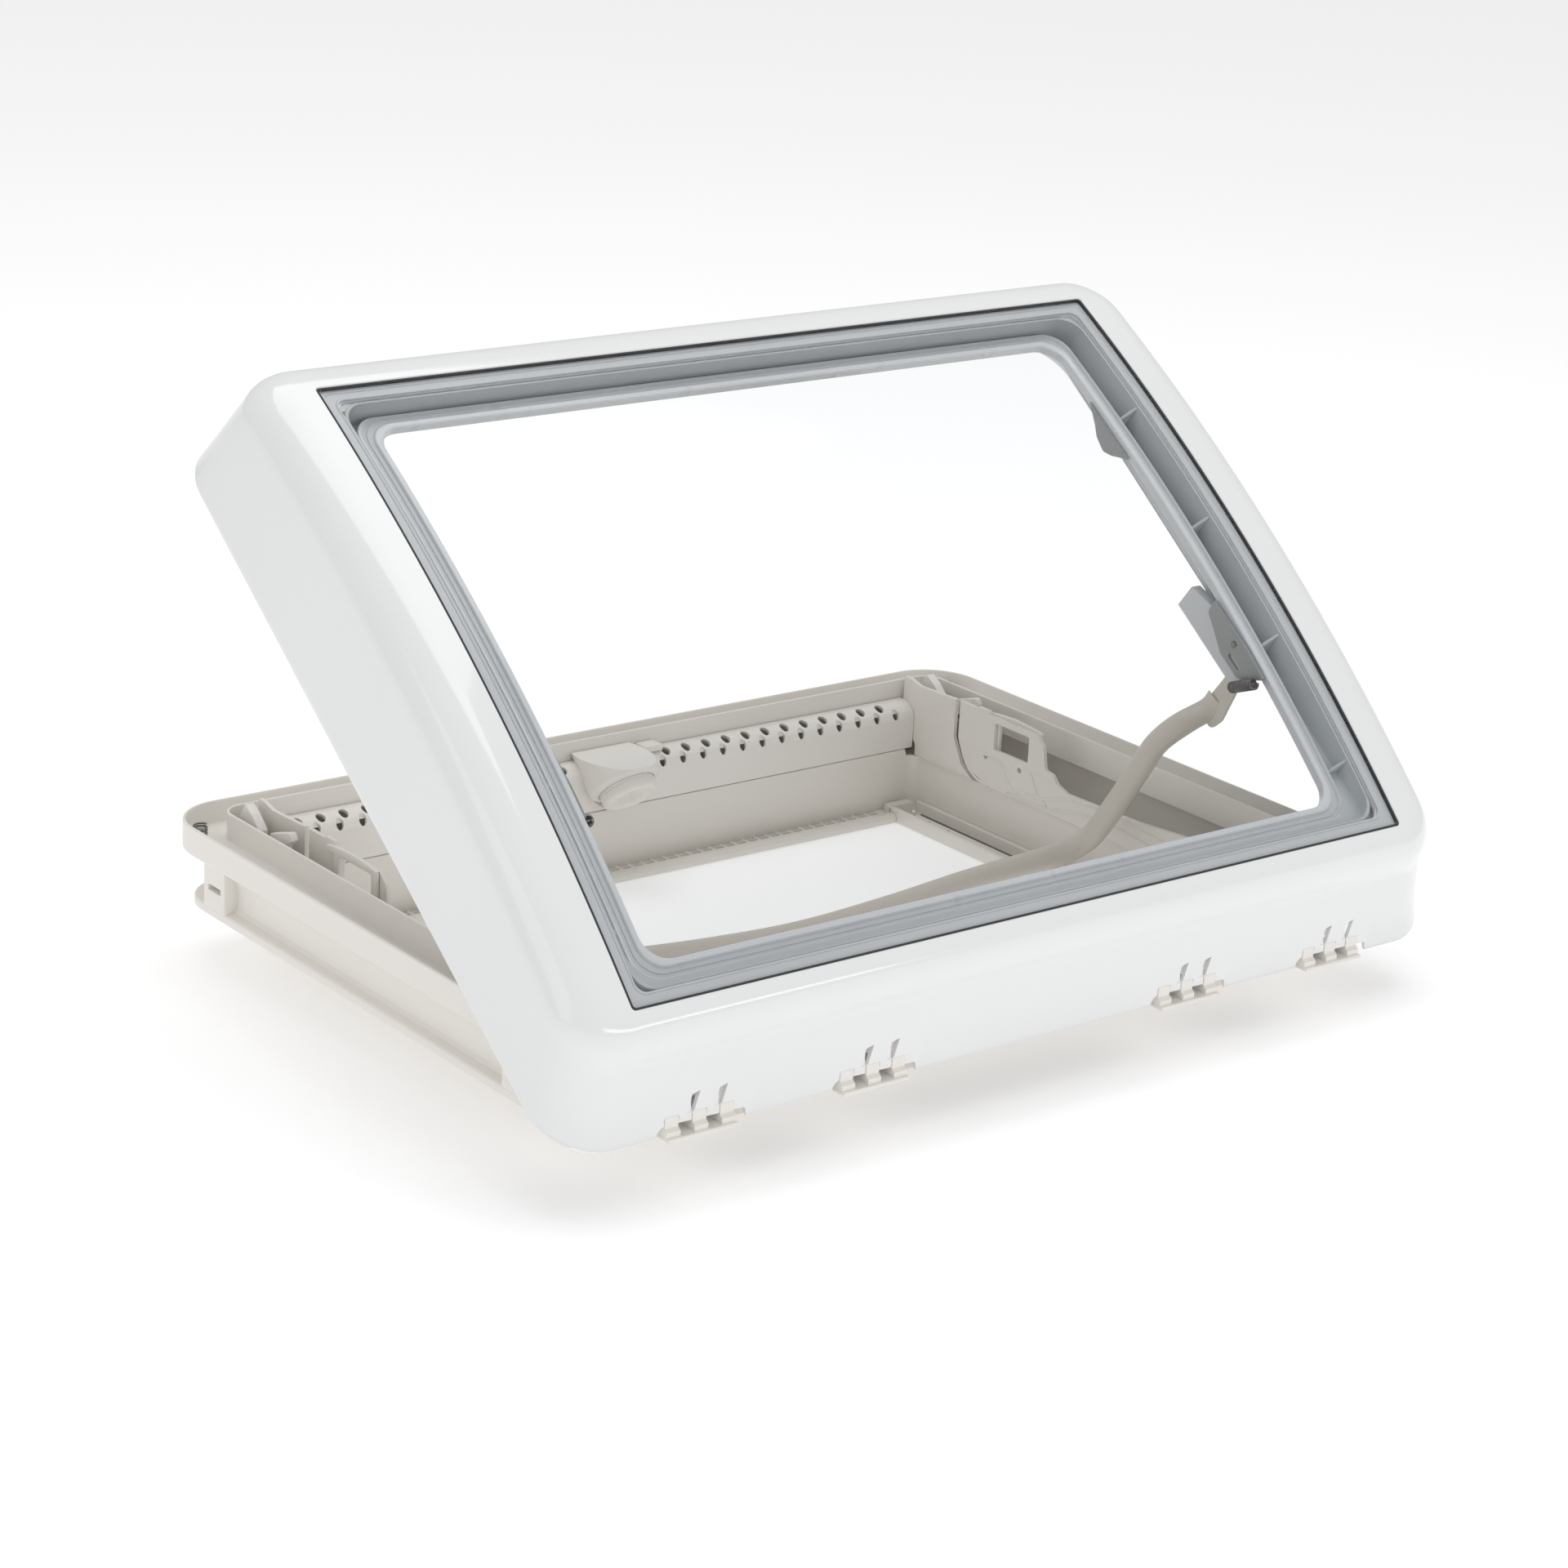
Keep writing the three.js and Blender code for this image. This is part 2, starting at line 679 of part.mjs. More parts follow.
function lidBlock(wall, drop, bottom) {
  const ring = (near, inX, inFar, radius, height) => ({
    near: near + wall,
    far: lidFar - inFar - wall,
    half: lidHalf - inX - wall,
    radius: Math.max(radius - wall, 6),
    height,
  });
  return loft([
    ring(lidNear, 0, 0, lidRadius, bottom),
    ring(lidNear, 0, 0, lidRadius, lidBottom + 1),
    ring(shoulderNear, shoulderInset, shoulderFarInset, lidRadius - 2, under(shoulderDrop + drop)),
    ...[30, 60].map((degrees) => {
      const turn = THREE.MathUtils.degToRad(degrees);
      const towards = (from, to) => from + (to - from) * (1 - Math.cos(turn));
      return ring(
        towards(shoulderNear, borderNear), towards(shoulderInset, borderInset),
        towards(shoulderFarInset, borderFarInset), towards(lidRadius - 2, borderRadius),
        under(drop + shoulderDrop * (1 - Math.sin(turn))),
      );
    }),
    ring(borderNear, borderInset, borderFarInset, borderRadius, under(drop)),
    ring(borderNear, borderInset, borderFarInset, borderRadius, nearHeight + 80),
  ], 5, lidRuns).intersect(underSkin(drop));
}

function lidShell() {
  let body = lidBlock(0, 0, lidBottom).subtract(lidBlock(lidWall + 0.6, lidWall, lidBottom - 5));
  const column = (grow, radius) => {
    const ring = {
      near: glassNear - grow, far: glassFar + grow, half: glassHalf + grow, radius,
    };
    return loft([{ ...ring, height: 0 }, { ...ring, height: nearHeight + 80 }], 4, 1);
  };
  const bed = column(2, 5).intersect(underSkin(0.5)).subtract(underSkin(rebateDepth + lidWall));
  body = body.add(bed)
    .subtract(column(0, 3).subtract(underSkin(rebateDepth)))
    .subtract(column(-rebateWidth, 10));
  for (const middle of stations) {
    body = body.subtract(box(
      middle - notchLength / 2, middle + notchLength / 2, lidNear - 2, 12, lidBottom - 2, notchTop,
    ));
  }
  const step = (bracketBlock + bracketWindow) / 2;
  for (const middle of stations) {
    for (const side of [-1, 1]) {
      const x0 = middle + side * step - tabLength / 2;
      const x1 = x0 + tabLength;
      const knuckle = bar([x0, 0, 0], [x1, 0, 0], knuckleRadius, pinSides);
      const web = plate([[-3.6, 2], [3.6, 2], [6, notchTop + 2], [2.8, notchTop + 2]], x0, x1);
      body = body.add(knuckle).add(web).subtract(
        bar([x0 - 0.5, 0, 0], [x1 + 0.5, 0, 0], pinRadius + pinClearance, pinSides),
      );
      body = body.subtract(plate([[-12, 12], [14, 12], [26, 38], [0, 38]], x0 + 1, x1 - 1));
    }
  }
  return body;
}
add('lid_shell', lidShell(), white, lid);

// Outer pane, flush with the shell, on a rubber bed
function layer(ring, top, bottom) {
  const column = loft([{ ...ring, height: 0 }, { ...ring, height: nearHeight + 80 }], 4, 1);
  return column.intersect(underSkin(top)).subtract(underSkin(bottom));
}
const paneRing = {
  near: glassNear + 0.7, far: glassFar - 0.7, half: glassHalf - 0.7, radius: 3,
};
add('outer_pane', layer(paneRing, 0, paneThick), glass, lid);
const bedTop = paneThick + gap;
const bedBottom = bedTop + sealThick;
const bedHole = {
  near: glassNear + rebateWidth - 2, far: glassFar - rebateWidth + 2,
  half: glassHalf - rebateWidth + 2, radius: 8,
};
add('pane_seal', layer(paneRing, bedTop, bedBottom).subtract(layer(bedHole, bedTop - 2, bedBottom + 2)), rubber, lid);

// Inner frame of the lid: a trough all round, and a broad lip inside it carrying the inner pane
const floorAt = (v) => troughNearHeight
  + ((v - trough.near) * (troughFarHeight - troughNearHeight)) / (trough.far - trough.near);
const troughRing = (offset, height, radius = 18) => ({
  near: trough.near + offset,
  far: trough.far - offset,
  half: trough.half - offset,
  radius,
  height,
});
const lipRing = (offset, height, radius = 20) => ({
  near: openingNear - offset,
  far: lidFar - openingFarInset + offset,
  half: lidHalf - openingInset + offset,
  radius,
  height,
});
const lipColumn = (offset) => loft([lipRing(offset, 0), lipRing(offset, nearHeight + 90)], 4, 1);
function lidInnerFrame() {
  const outside = loft([
    troughRing(0, (v) => floorAt(v) - troughFloor),
    troughRing(0, nearHeight + 80),
  ], 4, 1);
  const channel = loft([
    troughRing(troughWall, floorAt),
    troughRing(troughWall, nearHeight + 80),
  ], 4, 1);
  const tray = outside.subtract(channel).subtract(lipColumn(lipWidth - lipThick)).intersect(underSkin(troughTopDrop));
  const aboveFloor = loft([
    troughRing(1, (v) => floorAt(v) - 1),
    troughRing(1, nearHeight + 80),
  ], 4, 1);
  const lip = lipColumn(lipWidth).intersect(aboveFloor).intersect(underSkin(lipDrop))
    .subtract(lipColumn(lipWidth - lipThick).intersect(underSkin(lipDrop + lipThick)));
  const skirt = lipColumn(lipThick).intersect(underSkin(lipDrop + 1)).subtract(underSkin(lipDrop + lipSkirt));
  const flange = loft([
    troughRing(-8, (v) => floorAt(v) + 2),
    troughRing(-8, (v) => floorAt(v) + 4.5),
  ], 4, 1).subtract(loft([troughRing(1, 0), troughRing(1, nearHeight + 90)], 4, 1));
  let body = tray.add(lip.add(skirt).subtract(lipColumn(0))).add(flange);
  const span = trough.far - trough.near;
  for (const share of [0.1, 0.33, 0.56, 0.79]) {
    const v = trough.near + span * share;
    for (const side of [-1, 1]) {
      const x0 = side > 0 ? openingHalf + lipWidth - 1 : -trough.half + 1;
      const x1 = side > 0 ? trough.half - 1 : -openingHalf - lipWidth + 1;
      body = body.add(box(x0, x1, v, v + ribThick, floorAt(v) - 1, skin(v) - lipDrop - 1));
    }
  }
  const bladeRoom = (x0, x1) => plate([
    [bowPivotV - 24, 40], [bowPivotV - 24, bowPivotW + 6], [bowPivotV + 12, bowPivotW + 7.4],
    [bowPivotV + 62, bowPivotW - 6], [bowPivotV + 62, 40],
  ], x0, x1);
  body = body.subtract(bladeRoom(openingHalf - 1, openingHalf + 8));
  return body.subtract(bladeRoom(-openingHalf - 8, -openingHalf + 1));
}
add('lid_inner_frame', lidInnerFrame(), grey, lid);
add('inner_pane', layer(lipRing(lipWidth - 2, 0), innerPaneDrop, innerPaneDrop + paneThick), glass, lid);

// Seal under the inner frame's flange, pressing on the frame's rim when shut
const sealOuter = [troughRing(-7, (v) => floorAt(v) - 2), troughRing(-7, (v) => floorAt(v) + 2 - gap)];
const sealInner = [troughRing(-2, 0), troughRing(-2, 200)];
add('lid_seal', loft(sealOuter, 4, 1).subtract(loft(sealInner, 4, 1)), rubber, lid);

// Brackets that carry the bow, and the grab lugs near the opening side
const bracketPlane = openingHalf - gap;
const bowBracket = plate([
  [bowPivotV + 37, bowPivotW + 5], [bowPivotV + 36, bowPivotW - 4], [bowPivotV + 25, bowPivotW - 8],
  [bowPivotV + 5, bowPivotW - 17], [bowPivotV - 19, bowPivotW - 17], [bowPivotV - 25, bowPivotW - 13],
  [bowPivotV - 38, bowPivotW + 3], [bowPivotV - 38, bowPivotW + 5.5], [bowPivotV - 13, bowPivotW + 8],
  [bowPivotV + 37, bowPivotW + 8],
], bracketPlane - sheetWall, bracketPlane)
  .subtract(slotCutter(bowPivotV - 17, bowPivotW - 10, bowPivotV - 2, bowPivotW - 10, 4,
    bracketPlane - 9, bracketPlane + 1))
  .subtract(bar([bracketPlane - 9, bowPivotV, bowPivotW], [bracketPlane + 1, bowPivotV, bowPivotW],
    bowPinRadius + pinClearance, pinSides));
addPair('bow_bracket', bowBracket, grey, lid);
const lugV = lidFar - 168;
addPair('lid_lug', plate([
  [lugV + 33, 82], [lugV + 16, 70], [lugV + 9, 65], [lugV - 4, 62], [lugV - 13, 67], [lugV - 27, 82],
], bracketPlane - sheetWall, bracketPlane), grey, lid);

// Bow: flat blades at the pivots, then one bent tube, in the rest pose
const open = THREE.MathUtils.degToRad(openAngle);
const pivotY = hingeY + bowPivotV * Math.cos(open) - bowPivotW * Math.sin(open);
const pivotZ = hingeZ + bowPivotV * Math.sin(open) + bowPivotW * Math.cos(open);
const bladeMiddle = lidHalf - bowInset;
const bladeX0 = bladeMiddle - bladeThick / 2;
const bladeX1 = bladeMiddle + bladeThick / 2;
const bowAt = (y, z) => [pivotY + y, pivotZ + z];
function bowHandle() {
  const blade = plate([
    bowAt(-6.6, 2), bowAt(-bladeWidth / 2, -30), bowAt(14, -62), bowAt(27, -66), bowAt(30, -54),
    bowAt(9, -28), bowAt(6.6, 2), bowAt(3.6, 5.6), bowAt(-3.6, 5.6),
  ], bladeX0, bladeX1).subtract(bar(
    [bladeX0 - 1, pivotY, pivotZ], [bladeX1 + 1, pivotY, pivotZ], bowPinRadius + pinClearance, pinSides,
  ));
  const half = [
    [bladeMiddle, 21, -53], [bladeMiddle - 2, 24, -58], [bladeMiddle - 14, 38, -72], [bladeMiddle - 24, 55, -93],
    [bladeMiddle - 27, 70, -120], [bladeMiddle - 31, 101, -172], [bladeMiddle - 36, 112, -190],
    [bladeMiddle - 50, 119, -199], [bladeMiddle - 77, 121, -202.5], [bladeMiddle - 150, 122.5, -207],
    [bladeMiddle - 232, 123, -214],
  ];
  const points = [
    ...half.map(([x, y, z]) => new THREE.Vector3(x, pivotY + y, pivotZ + z)),
    new THREE.Vector3(0, pivotY + 123, pivotZ - 218),
    ...half.map(([x, y, z]) => new THREE.Vector3(-x, pivotY + y, pivotZ + z)).reverse(),
  ];
  const section = new THREE.Shape();
  section.absarc(0, 0, tubeRadius, 0, 2 * Math.PI, false);
  const tube = solidOf(new THREE.ExtrudeGeometry(section, {
    steps: 56,
    curveSegments: 6,
    bevelEnabled: false,
    extrudePath: new THREE.CatmullRomCurve3(points, false, 'centripetal'),
  }));
  return tube.add(blade).add(mirrored(blade));
}
add('bow_handle', bowHandle(), taupe);

// Pivot rivets through bracket and blade, and the bow's helper springs
const rivet = bar([bracketPlane - sheetWall - 2, bowPivotV, bowPivotW], [bladeX1 + 2, bowPivotV, bowPivotW],
  bowPinRadius, pinSides)
  .add(bar([bracketPlane - sheetWall - 2.5, bowPivotV, bowPivotW],
    [bracketPlane - sheetWall - gap, bowPivotV, bowPivotW], 5, pinSides));
addPair('bow_rivet', rivet, steel, lid);
const bowSpringX = bracketPlane - sheetWall - 6;
addPair('bow_spring', coil(
  [bowSpringX, bowPivotV - 22, bowPivotW - 42], [bowSpringX, bowPivotV - 41, bowPivotW + 4], 4, 4,
), steel, lid);

// Side pockets: gusset, pawl on its pin, post and spring at each end
const pocketX = frameHalf - pocketMiddle;
addPair('gusset', plate([
  [far(32), flangeThick + gap], [far(32), 57], [far(46), 79], [far(56), 73], [far(67), 63], [far(67), 40],
  [far(60), flangeThick + gap],
], pocketX - 4, pocketX + 4).subtract(
  bar([pocketX - 5, far(43), 55], [pocketX + 5, far(43), 55], 2.5, 12),
), cream);
const pawlY = far(pawlPivotBack);
const pawlBore = bar(
  [pocketX - 20, pawlY, pawlPivotZ], [pocketX + 20, pawlY, pawlPivotZ], pawlPinRadius + pinClearance, pinSides,
);
addPair('pawl', plate([
  [pawlY + 17, 50], [pawlY + 13, 66], [pawlY - 15, 75], [pawlY - 19, 69], [pawlY - 6, 60], [pawlY - 33, 52],
  [pawlY - 33, 46], [pawlY - 3, 48],
], pocketX - pawlThick / 2, pocketX + pawlThick / 2).subtract(pawlBore), cream);
addPair('pawl_post', plate([
  [pawlY - 8, flangeThick + gap], [pawlY + 8, flangeThick + gap], [pawlY + 6, 60], [pawlY - 6, 60],
], pocketX + 5, pocketX + 9).subtract(pawlBore), cream);
addPair('pawl_pin', bar(
  [pocketX - 6, pawlY, pawlPivotZ], [pocketX + 11, pawlY, pawlPivotZ], pawlPinRadius, pinSides,
), steel);
addPair('pawl_spring', coil([pocketX, far(66) - 2, 56], [pocketX, pawlY + 16.5, 55], 3, 0), steel);

// Buffer springs standing in the gutter's opening-side corners
const bufferX = frameHalf - 17;
addPair('gutter_spring', coil(
  [bufferX, far(30), gutterFloor + wireRadius + gap], [bufferX, far(30), 62], 5,
), steel);

export default part;
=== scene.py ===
# Caravan roof window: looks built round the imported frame. Sizes are in millimetres until a mesh is made.
import json
import math

import bmesh
import bpy
from mathutils import Matrix, Vector


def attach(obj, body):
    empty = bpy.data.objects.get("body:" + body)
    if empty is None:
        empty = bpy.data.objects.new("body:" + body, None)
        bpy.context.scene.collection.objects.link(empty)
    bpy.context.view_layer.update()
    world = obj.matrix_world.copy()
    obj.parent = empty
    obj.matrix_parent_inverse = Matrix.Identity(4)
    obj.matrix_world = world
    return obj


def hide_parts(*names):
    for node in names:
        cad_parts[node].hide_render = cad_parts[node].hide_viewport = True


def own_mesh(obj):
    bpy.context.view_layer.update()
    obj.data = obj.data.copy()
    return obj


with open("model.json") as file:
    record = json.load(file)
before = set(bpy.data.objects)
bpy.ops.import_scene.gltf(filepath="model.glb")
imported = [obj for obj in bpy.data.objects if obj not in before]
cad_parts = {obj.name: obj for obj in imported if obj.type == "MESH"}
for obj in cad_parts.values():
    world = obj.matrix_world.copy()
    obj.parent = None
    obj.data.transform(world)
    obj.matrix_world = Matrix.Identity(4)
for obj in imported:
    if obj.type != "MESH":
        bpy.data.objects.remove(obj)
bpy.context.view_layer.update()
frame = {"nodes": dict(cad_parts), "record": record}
print("frame loaded")

milli = 0.001
rest = Matrix.Identity(4)
hinge = {"y": -44.0, "z": 16.0, "open": 36.62, "pin": 1.2, "bore": 1.3}
lidTurn = Matrix.Rotation(math.radians(hinge["open"]), 4, "X")
lidPose = Matrix.Translation((0, hinge["y"], hinge["z"])) @ lidTurn


def placed(name, data):
    item = bpy.data.objects.new(name, data)
    bpy.context.scene.collection.objects.link(item)
    return item


def makePiece(name, bm, pose=rest, sharp=32, smooth=True):
    # solid in millimetres to an object in metres, edges above the sharp angle left crisp
    mesh = bpy.data.meshes.new(name)
    bmesh.ops.recalc_face_normals(bm, faces=bm.faces)
    bm.to_mesh(mesh)
    bm.free()
    mesh.transform(Matrix.Scale(milli, 4) @ pose)
    if smooth:
        mesh.shade_smooth()
        mesh.set_sharp_from_angle(angle=math.radians(sharp))
    return placed(name, mesh)


def settle(piece, body, material, nodes=()):
    # material, body and the frame nodes it stands for
    piece.data.materials.clear()
    piece.data.materials.append(material)
    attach(piece, body)
    if nodes:
        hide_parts(*nodes)
    return piece


def settlePair(name, right, body, material, node=None, pose=rest):
    # the right piece and its mirror image on the left
    left = mirroredSolid(right)
    for side, bm in (("Right", right), ("Left", left)):
        nodes = [f"{node}_{side.lower()}"] if node else ()
        settle(makePiece(name + side, bm, pose), body.format(side=side.lower()), material, nodes)


def ringPoints(ring, corner, runs):
    # a rectangle with round corners, its straight sides divided so they can follow a curve
    near, far, half, radius = ring["near"], ring["far"], ring["half"], ring["radius"]
    centres = ((half - radius, near + radius), (half - radius, far - radius),
               (radius - half, far - radius), (radius - half, near + radius))
    points = []
    for index, (x, y) in enumerate(centres):
        start = index * 90 - 90
        for step in range(corner + 1):
            turn = math.radians(start + 90 * step / corner)
            points.append((x + radius * math.cos(turn), y + radius * math.sin(turn)))
        nx, ny = centres[(index + 1) % 4]
        endTurn = math.radians(start + 90)
        x0, y0 = x + radius * math.cos(endTurn), y + radius * math.sin(endTurn)
        x1, y1 = nx + radius * math.cos(endTurn), ny + radius * math.sin(endTurn)
        for step in range(1, runs):
            share = step / runs
            points.append((x0 + (x1 - x0) * share, y0 + (y1 - y0) * share))
    return points


def ringSolid(rings, corner=14, runs=24):
    # skin through a stack of such outlines, the last one joined back to the first
    bm = bmesh.new()
    loops = []
    for ring in rings:
        height = ring["height"]
        loop = []
        for x, y in ringPoints(ring, corner, runs):
            z = height(x, y) if callable(height) else height
            loop.append(bm.verts.new((x, y, z)))
        loops.append(loop)
    for low, high in zip(loops, loops[1:] + loops[:1]):
        count = len(low)
        for i in range(count):
            j = (i + 1) % count
            bm.faces.new((low[i], low[j], high[j], high[i]))
    return bm


planes = {
    "YZ": Matrix(((0, 0, 1, 0), (1, 0, 0, 0), (0, 1, 0, 0), (0, 0, 0, 1))),  # depth along X
    "XZ": Matrix(((1, 0, 0, 0), (0, 0, 1, 0), (0, 1, 0, 0), (0, 0, 0, 1))),  # depth along Y
}


def rounded(points, radius, steps=5):
    # soft corners on a polygon; radius is one number or one for each corner
    result = []
    count = len(points)
    for i, point in enumerate(points):
        r = radius[i] if isinstance(radius, (list, tuple)) else radius
        here = Vector(point)
        before = Vector(points[i - 1]) - here
        after = Vector(points[(i + 1) % count]) - here
        if r <= 0 or before.length < 1e-6 or after.length < 1e-6:
            result.append(tuple(here))
            continue
        angle = before.angle(after)
        if angle > math.radians(176):
            result.append(tuple(here))
            continue
        reach = min(r / math.tan(angle / 2), before.length * 0.48, after.length * 0.48)
        a = here + before.normalized() * reach
        b = here + after.normalized() * reach
        for step in range(steps + 1):
            t = step / steps
            result.append(tuple(a * (1 - t) ** 2 + here * 2 * t * (1 - t) + b * t * t))
    return result


def solidFrom(holder):
    # the mesh that a curve or a cut solid ends up with
    graph = bpy.context.evaluated_depsgraph_get()
    mesh = bpy.data.meshes.new_from_object(holder.evaluated_get(graph))
    bm = bmesh.new()
    bm.from_mesh(mesh)
    bpy.data.meshes.remove(mesh)
    return bm


def solidFromCurve(curve):
    holder = placed(curve.name, curve)
    bm = solidFrom(holder)
    bpy.data.objects.remove(holder)
    bpy.data.curves.remove(curve)
    bmesh.ops.remove_doubles(bm, verts=bm.verts, dist=1e-4)
    return bm


def circle(x, y, radius, count):
    turns = [2 * math.pi * i / count for i in range(count)]
    return [(x + radius * math.cos(turn), y + radius * math.sin(turn)) for turn in turns]


def outlineSolid(outline, low, high, plane="YZ", holes=(), edge=0.4):
    # a flat outline with holes, given depth and a small round edge
    curve = bpy.data.curves.new("outline", "CURVE")
    curve.dimensions = "2D"
    curve.fill_mode = "BOTH"
    curve.bevel_depth = edge
    curve.bevel_resolution = 2 if edge else 0
    curve.extrude = (high - low) / 2 - edge
    curve.offset = -edge
    for loop in (outline, *holes):
        spline = curve.splines.new("POLY")
        spline.points.add(len(loop) - 1)
        for point, (a, b) in zip(spline.points, loop):
            point.co = (a, b, 0, 1)
        spline.use_cyclic_u = True
    bm = solidFromCurve(curve)
    bm.transform(planes[plane] @ Matrix.Translation((0, 0, (low + high) / 2)))
    return bm


def boxSolid(x0, x1, y0, y1, z0, z1, edge=0.4):
    return outlineSolid([(y0, z0), (y1, z0), (y1, z1), (y0, z1)], x0, x1, "YZ", edge=edge)


def turned(profile, start, along, sides=32):
    # a lathe shape: profile of (distance, radius) along a direction
    bm = bmesh.new()
    along = Vector(along).normalized()
    turn = along.to_track_quat("Z", "Y").to_matrix().to_4x4()
    loops = []
    for distance, radius in profile:
        if radius < 1e-6:
            loops.append([bm.verts.new((0, 0, distance))])
            continue
        loops.append([bm.verts.new((x, y, distance)) for x, y in circle(0, 0, radius, sides)])
    for low, high in zip(loops, loops[1:]):
        if len(low) == 1 and len(high) == 1:
            continue
        for i in range(sides):
            j = (i + 1) % sides
            if len(low) == 1:
                bm.faces.new((low[0], high[j], high[i]))
            elif len(high) == 1:
                bm.faces.new((low[i], low[j], high[0]))
            else:
                bm.faces.new((low[i], low[j], high[j], high[i]))
    bm.transform(Matrix.Translation(start) @ turn)
    return bm


def rod(start, end, radius, edge=0.4, sides=28):
    span = Vector(end) - Vector(start)
    length = span.length
    profile = [(0, 0), (0, radius - edge), (edge, radius)]
    profile += [(length - edge, radius), (length, radius - edge), (length, 0)]
    return turned(profile, start, span, sides)


def smoothPath(points, steps=8):
    # centripetal curve through the points
    result = []
    ends = [Vector(points[0]) * 2 - Vector(points[1])] + [Vector(p) for p in points] + [
        Vector(points[-1]) * 2 - Vector(points[-2])]
    for i in range(1, len(ends) - 2):
        p0, p1, p2, p3 = ends[i - 1:i + 3]
        t1 = max((p1 - p0).length ** 0.5, 1e-4)
        t2 = t1 + max((p2 - p1).length ** 0.5, 1e-4)
        t3 = t2 + max((p3 - p2).length ** 0.5, 1e-4)
        for step in range(steps):
            t = t1 + (t2 - t1) * step / steps
            a1 = p0 * ((t1 - t) / t1) + p1 * (t / t1)
            a2 = p1 * ((t2 - t) / (t2 - t1)) + p2 * ((t - t1) / (t2 - t1))
            a3 = p2 * ((t3 - t) / (t3 - t2)) + p3 * ((t - t2) / (t3 - t2))
            b1 = a1 * ((t2 - t) / t2) + a2 * (t / t2)
            b2 = a2 * ((t3 - t) / (t3 - t1)) + a3 * ((t - t1) / (t3 - t1))
            result.append(b1 * ((t2 - t) / (t2 - t1)) + b2 * ((t - t1) / (t2 - t1)))
    result.append(Vector(points[-1]))
    return result


def wire(points, radius, resolution=4):
    # a round bar along a path
    curve = bpy.data.curves.new("wire", "CURVE")
    curve.dimensions = "3D"
    curve.bevel_depth = radius
    curve.bevel_resolution = resolution
    curve.use_fill_caps = True
    spline = curve.splines.new("POLY")
    spline.points.add(len(points) - 1)
    for point, place in zip(spline.points, points):
        point.co = (*place, 1)
    return solidFromCurve(curve)


def coil(start, end, radius, wireRadius=0.8, pitch=2.0, hook=0.0):
    # a wound spring between two points, with straight hooks if asked
    start, end = Vector(start), Vector(end)
    span = end - start
    turn = span.to_track_quat("Z", "Y").to_matrix()
    length = span.length - 2 * hook
    turns = max(3, round(length / pitch))
    perTurn = 14
    points = []
    if hook:
        points += [Vector((0, 0, 0)), Vector((0, 0, hook * 0.6))]
    for i in range(turns * perTurn + 1):
        angle = 2 * math.pi * i / perTurn
        rise = hook + length * i / (turns * perTurn)
        points.append(Vector((radius * math.cos(angle), radius * math.sin(angle), rise)))
    if hook:
        points += [Vector((0, 0, span.length - hook * 0.6)), Vector((0, 0, span.length))]
    return wire([start + turn @ p for p in points], wireRadius, 3)


def joined(*solids):
    result = bmesh.new()
    for solid in solids:
        mesh = bpy.data.meshes.new("part")
        solid.to_mesh(mesh)
        solid.free()
        result.from_mesh(mesh)
        bpy.data.meshes.remove(mesh)
    return result


def mirroredSolid(bm):
    copy = bm.copy()
    copy.transform(Matrix.Scale(-1, 4, (1, 0, 0)))
    bmesh.ops.reverse_faces(copy, faces=copy.faces)
    return copy


def carved(bm, cutters):
    # takes the cutters out of the solid
    holders = []
    for label, solid in (("body", bm), ("cutter", cutters)):
        bmesh.ops.recalc_face_normals(solid, faces=solid.faces)
        if solid.calc_volume(signed=True) < 0:
            bmesh.ops.reverse_faces(solid, faces=solid.faces)
        mesh = bpy.data.meshes.new(label)
        solid.to_mesh(mesh)
        solid.free()
        holders.append(placed(label, mesh))
    change = holders[0].modifiers.new("cut", "BOOLEAN")
    change.operation = "DIFFERENCE"
    change.solver = "EXACT"
    change.object = holders[1]
    result = solidFrom(holders[0])
    for holder in holders:
        data = holder.data
        bpy.data.objects.remove(holder)
        bpy.data.meshes.remove(data)
    return result


def newFinish(name):
    material = bpy.data.materials.new(name)
    material.use_nodes = True
    nodes = material.node_tree.nodes
    return material, nodes, material.node_tree.links, nodes["Principled BSDF"]


def noise(nodes, links, scale, detail=2.0):
    # a noise pattern that stays on the piece as it moves
    place = nodes.new("ShaderNodeTexCoord")
    pattern = nodes.new("ShaderNodeTexNoise")
    pattern.inputs["Scale"].default_value = scale
    pattern.inputs["Detail"].default_value = detail
    links.new(place.outputs["Object"], pattern.inputs["Vector"])
    return pattern


